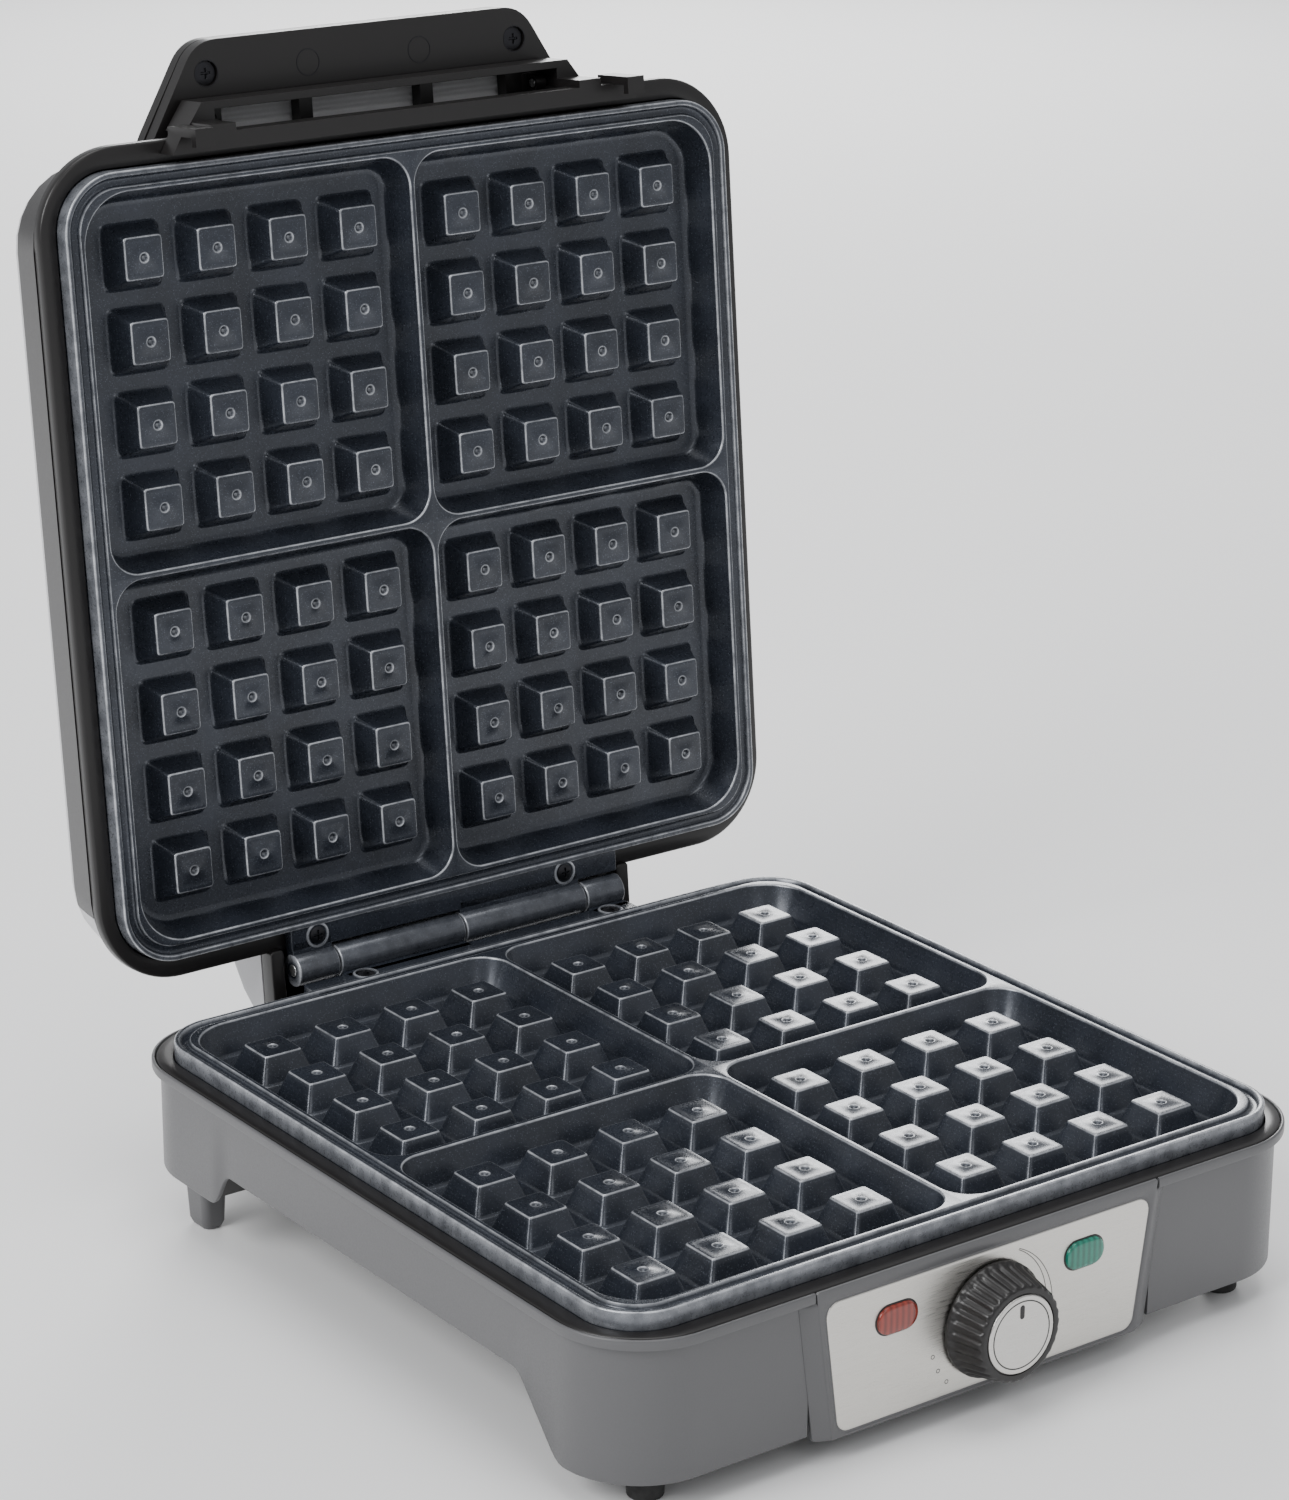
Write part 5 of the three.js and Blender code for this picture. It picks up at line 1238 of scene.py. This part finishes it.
    def build_knob(self) -> None:
        """The fluted knob, its brushed cap and the pointer.

        The knob's radius is the profile's radius less a rounded scallop repeated round it.
        """
        back = LEVELS.case_front - 0.6
        angle = np.arange(360)[None] * 2 * math.pi / 360
        scallop = (0.5 - 0.5 * np.cos(angle * 30)) ** 1.5
        profile = [
            (0.0, 14.0, 0.0), (0.0, 16.0, 0.0), (-0.25, 16.4, 0.0), (-1.2, 16.4, 0.1), (-1.8, 15.9, 0.8),
            (-3.0, 15.5, 1.0),
            (-6.0, 14.9, 1.0), (-9.0, 14.35, 1.0), (-10.6, 14.0, 1.0), (-11.2, 13.75, 0.6),
            (-11.55, 13.3, 0.2), (-11.65, 12.7, 0.0),
            (-11.6, 11.6, 0.0), (-11.1, 11.5, 0.0),
        ]
        along, radius, fluted = (np.array(column)[:, None] for column in zip(*profile))
        size = radius - 0.62 * fluted * scallop
        grid = np.stack(
            [
                size * np.cos(angle), np.broadcast_to(back + along, size.shape),
                self.knob_z + size * np.sin(angle),
            ],
            axis=-1
        )
        skin = Skin().add_grid(grid, cap_start=True, cap_end=True)
        self.shop.piece("dial_knob", skin, Body.KNOB, Finish.BLACK, ["knob_body"])
        cap = [(-10.8, 11.2), (-11.6, 11.2), (-11.85, 11.05), (-11.95, 10.75), (-11.9, 10.0), (-11.9, 0.3)]
        grid = turned([(back + a, r) for a, r in cap], "y", (0.0, self.knob_z), 72)
        self.shop.piece(
            "knob_disc", Skin().add_grid(grid, cap_start=True, cap_end=True), Body.KNOB, Finish.CAP,
            ["knob_cap"]
        )
        dark = [(-11.8, 9.85), (-11.94, 9.8), (-11.94, 9.45), (-11.8, 9.4)]
        grid = turned([(back + a, r) for a, r in dark], "y", (0.0, self.knob_z), 72)
        skin = Skin().add_grid(grid, wrap_rows=True)
        slot = soft_outline(rectangle(-0.75, 0.75, self.knob_z + 4.6, self.knob_z + 8.6), 0.74, 6)
        skin.add_grid(rings([slot, slot], [back - 11.7, back - 11.96], "y"), cap_start=True, cap_end=True)
        self.shop.piece("knob_pointer", skin, Body.KNOB, Finish.BLACK)


@dataclass
class LidAndHandle:
    """The lid's mouldings, the handle with its bright grip and the latch lever."""

    shop: Workshop
    face: float = 78.2
    mark_y: float = -137.6
    mark_radius: float = 3.75
    bolt_x: float = 54.0
    mark_x: float = 19.5

    def build(self) -> None:
        """Builds every piece of the lid except its plate."""
        self.shop.softened("lid_housing", "lid_skirt_and_handle", Body.LID, Finish.BLACK, 0.6, merged=False)
        self.shop.softened("lid_cover", "lid_back_cover", Body.LID, Finish.SILVER, 0.6)
        self.shop.softened("handle_cover", "handle_top_shell", Body.LID, Finish.BLACK, 0.8)
        self.shop.softened(
            "latch_lever", "latch_lever_moulding", Body.LATCH, Finish.BLACK, 0.4, merged=False
        )
        self.build_grip()
        self.build_marks()
        for side, sign in (("left", -1), ("right", 1)):
            head = CrossScrew(3.3, 0.5).skin(
                -sign * self.bolt_x, self.mark_y, 0.0
            ).turned_over(self.face + 1.0)
            self.shop.piece(f"handle_bolt_{side}", head, Body.LID, Finish.SCREW, [f"handle_screw_{side}"])
            self.shop.softened(f"latch_pin_{side}", f"latch_rod_{side}", Body.LID, Finish.PIN, 0.2)

    def build_marks(self) -> None:
        """Fine raised rings on the handle's inner face, round the two bolts and the two blind bosses."""
        skin = Skin()
        for x in (-self.bolt_x, -self.mark_x, self.mark_x, self.bolt_x):
            radius, lift = self.mark_radius, self.face - 0.12
            ring = [
                (self.face + 0.1, radius), (lift, radius), (lift, radius + 0.22),
                (self.face + 0.1, radius + 0.22)
            ]
            skin.add_grid(turned(ring, "z", (x, self.mark_y), 40), wrap_rows=True)
        self.shop.piece("handle_rings", skin, Body.LID, Finish.SCREW)

    def build_grip(self) -> None:
        """The bright insert behind the windows: three half-round ribs along its length."""
        front, rear, low, high = -128.0, -119.0, 83.3, 85.0
        y = np.linspace(front, rear, 61)
        wave = np.sin((y - front) / (rear - front) * math.pi * 3) ** 2
        under = np.stack([y, low + 0.75 - 0.75 * wave], axis=1)
        loop = np.concatenate([under, [[rear, high], [front, high]]])
        grid = rings([loop, loop], [-50.8, 50.8], "x")
        self.shop.piece(
            "grip_bright_insert", Skin().add_grid(grid, cap_start=True, cap_end=True), Body.LID,
            Finish.GRIP, ["grip_insert"]
        )


@dataclass
class BaseMouldings:
    """The base's underside, feet and unseen inside."""

    shop: Workshop

    def build(self) -> None:
        """Rounds the underside's mouldings and dresses the hidden nodes."""
        self.shop.softened("bottom_cover", "underside_cover", Body.BASE, Finish.BLACK, 0.4)
        self.shop.softened("cord_gland", "cord_bush", Body.BASE, Finish.BUSH, 0.4)
        for side in ("left", "right"):
            self.shop.softened(f"front_foot_{side}", f"front_pad_{side}", Body.BASE, Finish.FOOT, 0.6)
            self.shop.softened(f"rear_foot_{side}", f"rear_stub_{side}", Body.BASE, Finish.HOUSING, 0.6)
        for number in range(1, 5):
            self.shop.softened(
                f"bottom_screw_{number}", f"underside_screw_{number}", Body.BASE, Finish.SCREW, 0.2
            )
        hidden = {
            Finish.HEATER: ["lower_heater", "upper_heater"],
            Finish.SHEET: ["lower_reflector", "upper_reflector", "thermostat_bracket", "thermal_fuse"],
            Finish.CERAMIC: ["thermostat_body", "terminal_block", "red_lamp", "green_lamp"],
            Finish.SLEEVE: ["thermostat_lead_left", "thermostat_lead_right"],
            Finish.PIN: ["thermostat_shaft"],
        }
        for finish, nodes in hidden.items():
            for node in nodes:
                self.shop.dress_node(node, finish)


@dataclass
class Studio:
    """A plain pale floor, soft lights and the camera."""

    eye: tuple[float, float, float] = (-663.405, -864.726, 524.5)
    right: tuple[float, float, float] = (0.80468, -0.59370, 0.00367)
    up: tuple[float, float, float] = (0.18949, 0.26268, 0.94609)
    lens: float = 99.65
    sensor: float = 36.0
    farthest: float = 50.0
    aim_height: float = 0.12
    surround: tuple[float, float, float, float] = (0.93, 0.94, 0.96, 1)
    surround_strength: float = 0.62
    floor_half: float = 8.0

    def build(self) -> None:
        """Sets the camera, the lights, the world and the floor."""
        camera = bpy.data.cameras.new("camera")
        camera.lens = self.lens
        camera.sensor_width = self.sensor
        camera.clip_end = self.farthest
        holder = bpy.data.objects.new("camera", camera)
        right, up = Vector(self.right).normalized(), Vector(self.up).normalized()
        back = right.cross(up).normalized()
        eye = (Vector(self.eye) + Vector((0, PLACEMENT.shift, 0))) * MM
        holder.matrix_world = Matrix.Translation(eye) @ Matrix((right, up, back)).transposed().to_4x4()
        bpy.context.scene.collection.objects.link(holder)
        bpy.context.scene.camera = holder
        self.light("key", (-2.1, -0.2, 1.6), 1.3, 46.0)
        self.light("front", (-0.3, -2.3, 1.9), 1.3, 9.0)
        self.light("mirror", (1.45, 1.95, 1.05), 1.0, 30.0)
        self.light("top", (0.1, 0.1, 2.6), 1.6, 26.0)
        self.world()
        self.floor()

    def light(self, name: str, place: tuple[float, float, float], size: float, power: float) -> None:
        """Adds one square soft light that points at the machine."""
        lamp = bpy.data.lights.new(name, "AREA")
        lamp.shape = "SQUARE"
        lamp.size = size
        lamp.energy = power
        holder = bpy.data.objects.new(name, lamp)
        holder.location = place
        holder.rotation_euler = (
            (Vector((0, 0, self.aim_height)) - Vector(place)).to_track_quat("-Z", "Y").to_euler()
        )
        bpy.context.scene.collection.objects.link(holder)

    def world(self) -> None:
        """An even pale surround."""
        world = bpy.data.worlds.new("surround")
        world.use_nodes = True
        background = world.node_tree.nodes["Background"]
        background.inputs["Color"].default_value = self.surround
        background.inputs["Strength"].default_value = self.surround_strength
        bpy.context.scene.world = world

    def floor(self) -> None:
        """A wide pale floor with the faintest mottling."""
        mesh = bpy.data.meshes.new("floor")
        half = self.floor_half
        mesh.from_pydata(
            [(-half, -half, 0), (half, -half, 0), (half, half, 0), (-half, half, 0)], [], [(0, 1, 2, 3)]
        )
        bench = NodeBench("pale_floor")
        tone = bench.blend(bench.spread(bench.noise(3.0), 0.0, 1.0), (0.94, 0.94, 0.945), (0.96, 0.96, 0.96))
        mesh.materials.append(bench.dress(Base_Color=tone, Roughness=0.7))
        floor = bpy.data.objects.new("floor", mesh)
        bpy.context.scene.collection.objects.link(floor)


def main() -> None:
    """Builds the machine's looks in order."""
    logging.basicConfig(level=logging.INFO, format="%(message)s")
    shop = Workshop()
    PlatePair(shop).build()
    CaseShell().build(shop)
    PlateFrames(shop).build()
    ControlFront(shop).build()
    BaseMouldings(shop).build()
    LidAndHandle(shop).build()
    Studio().build()


if __name__ == "__main__":
    main()
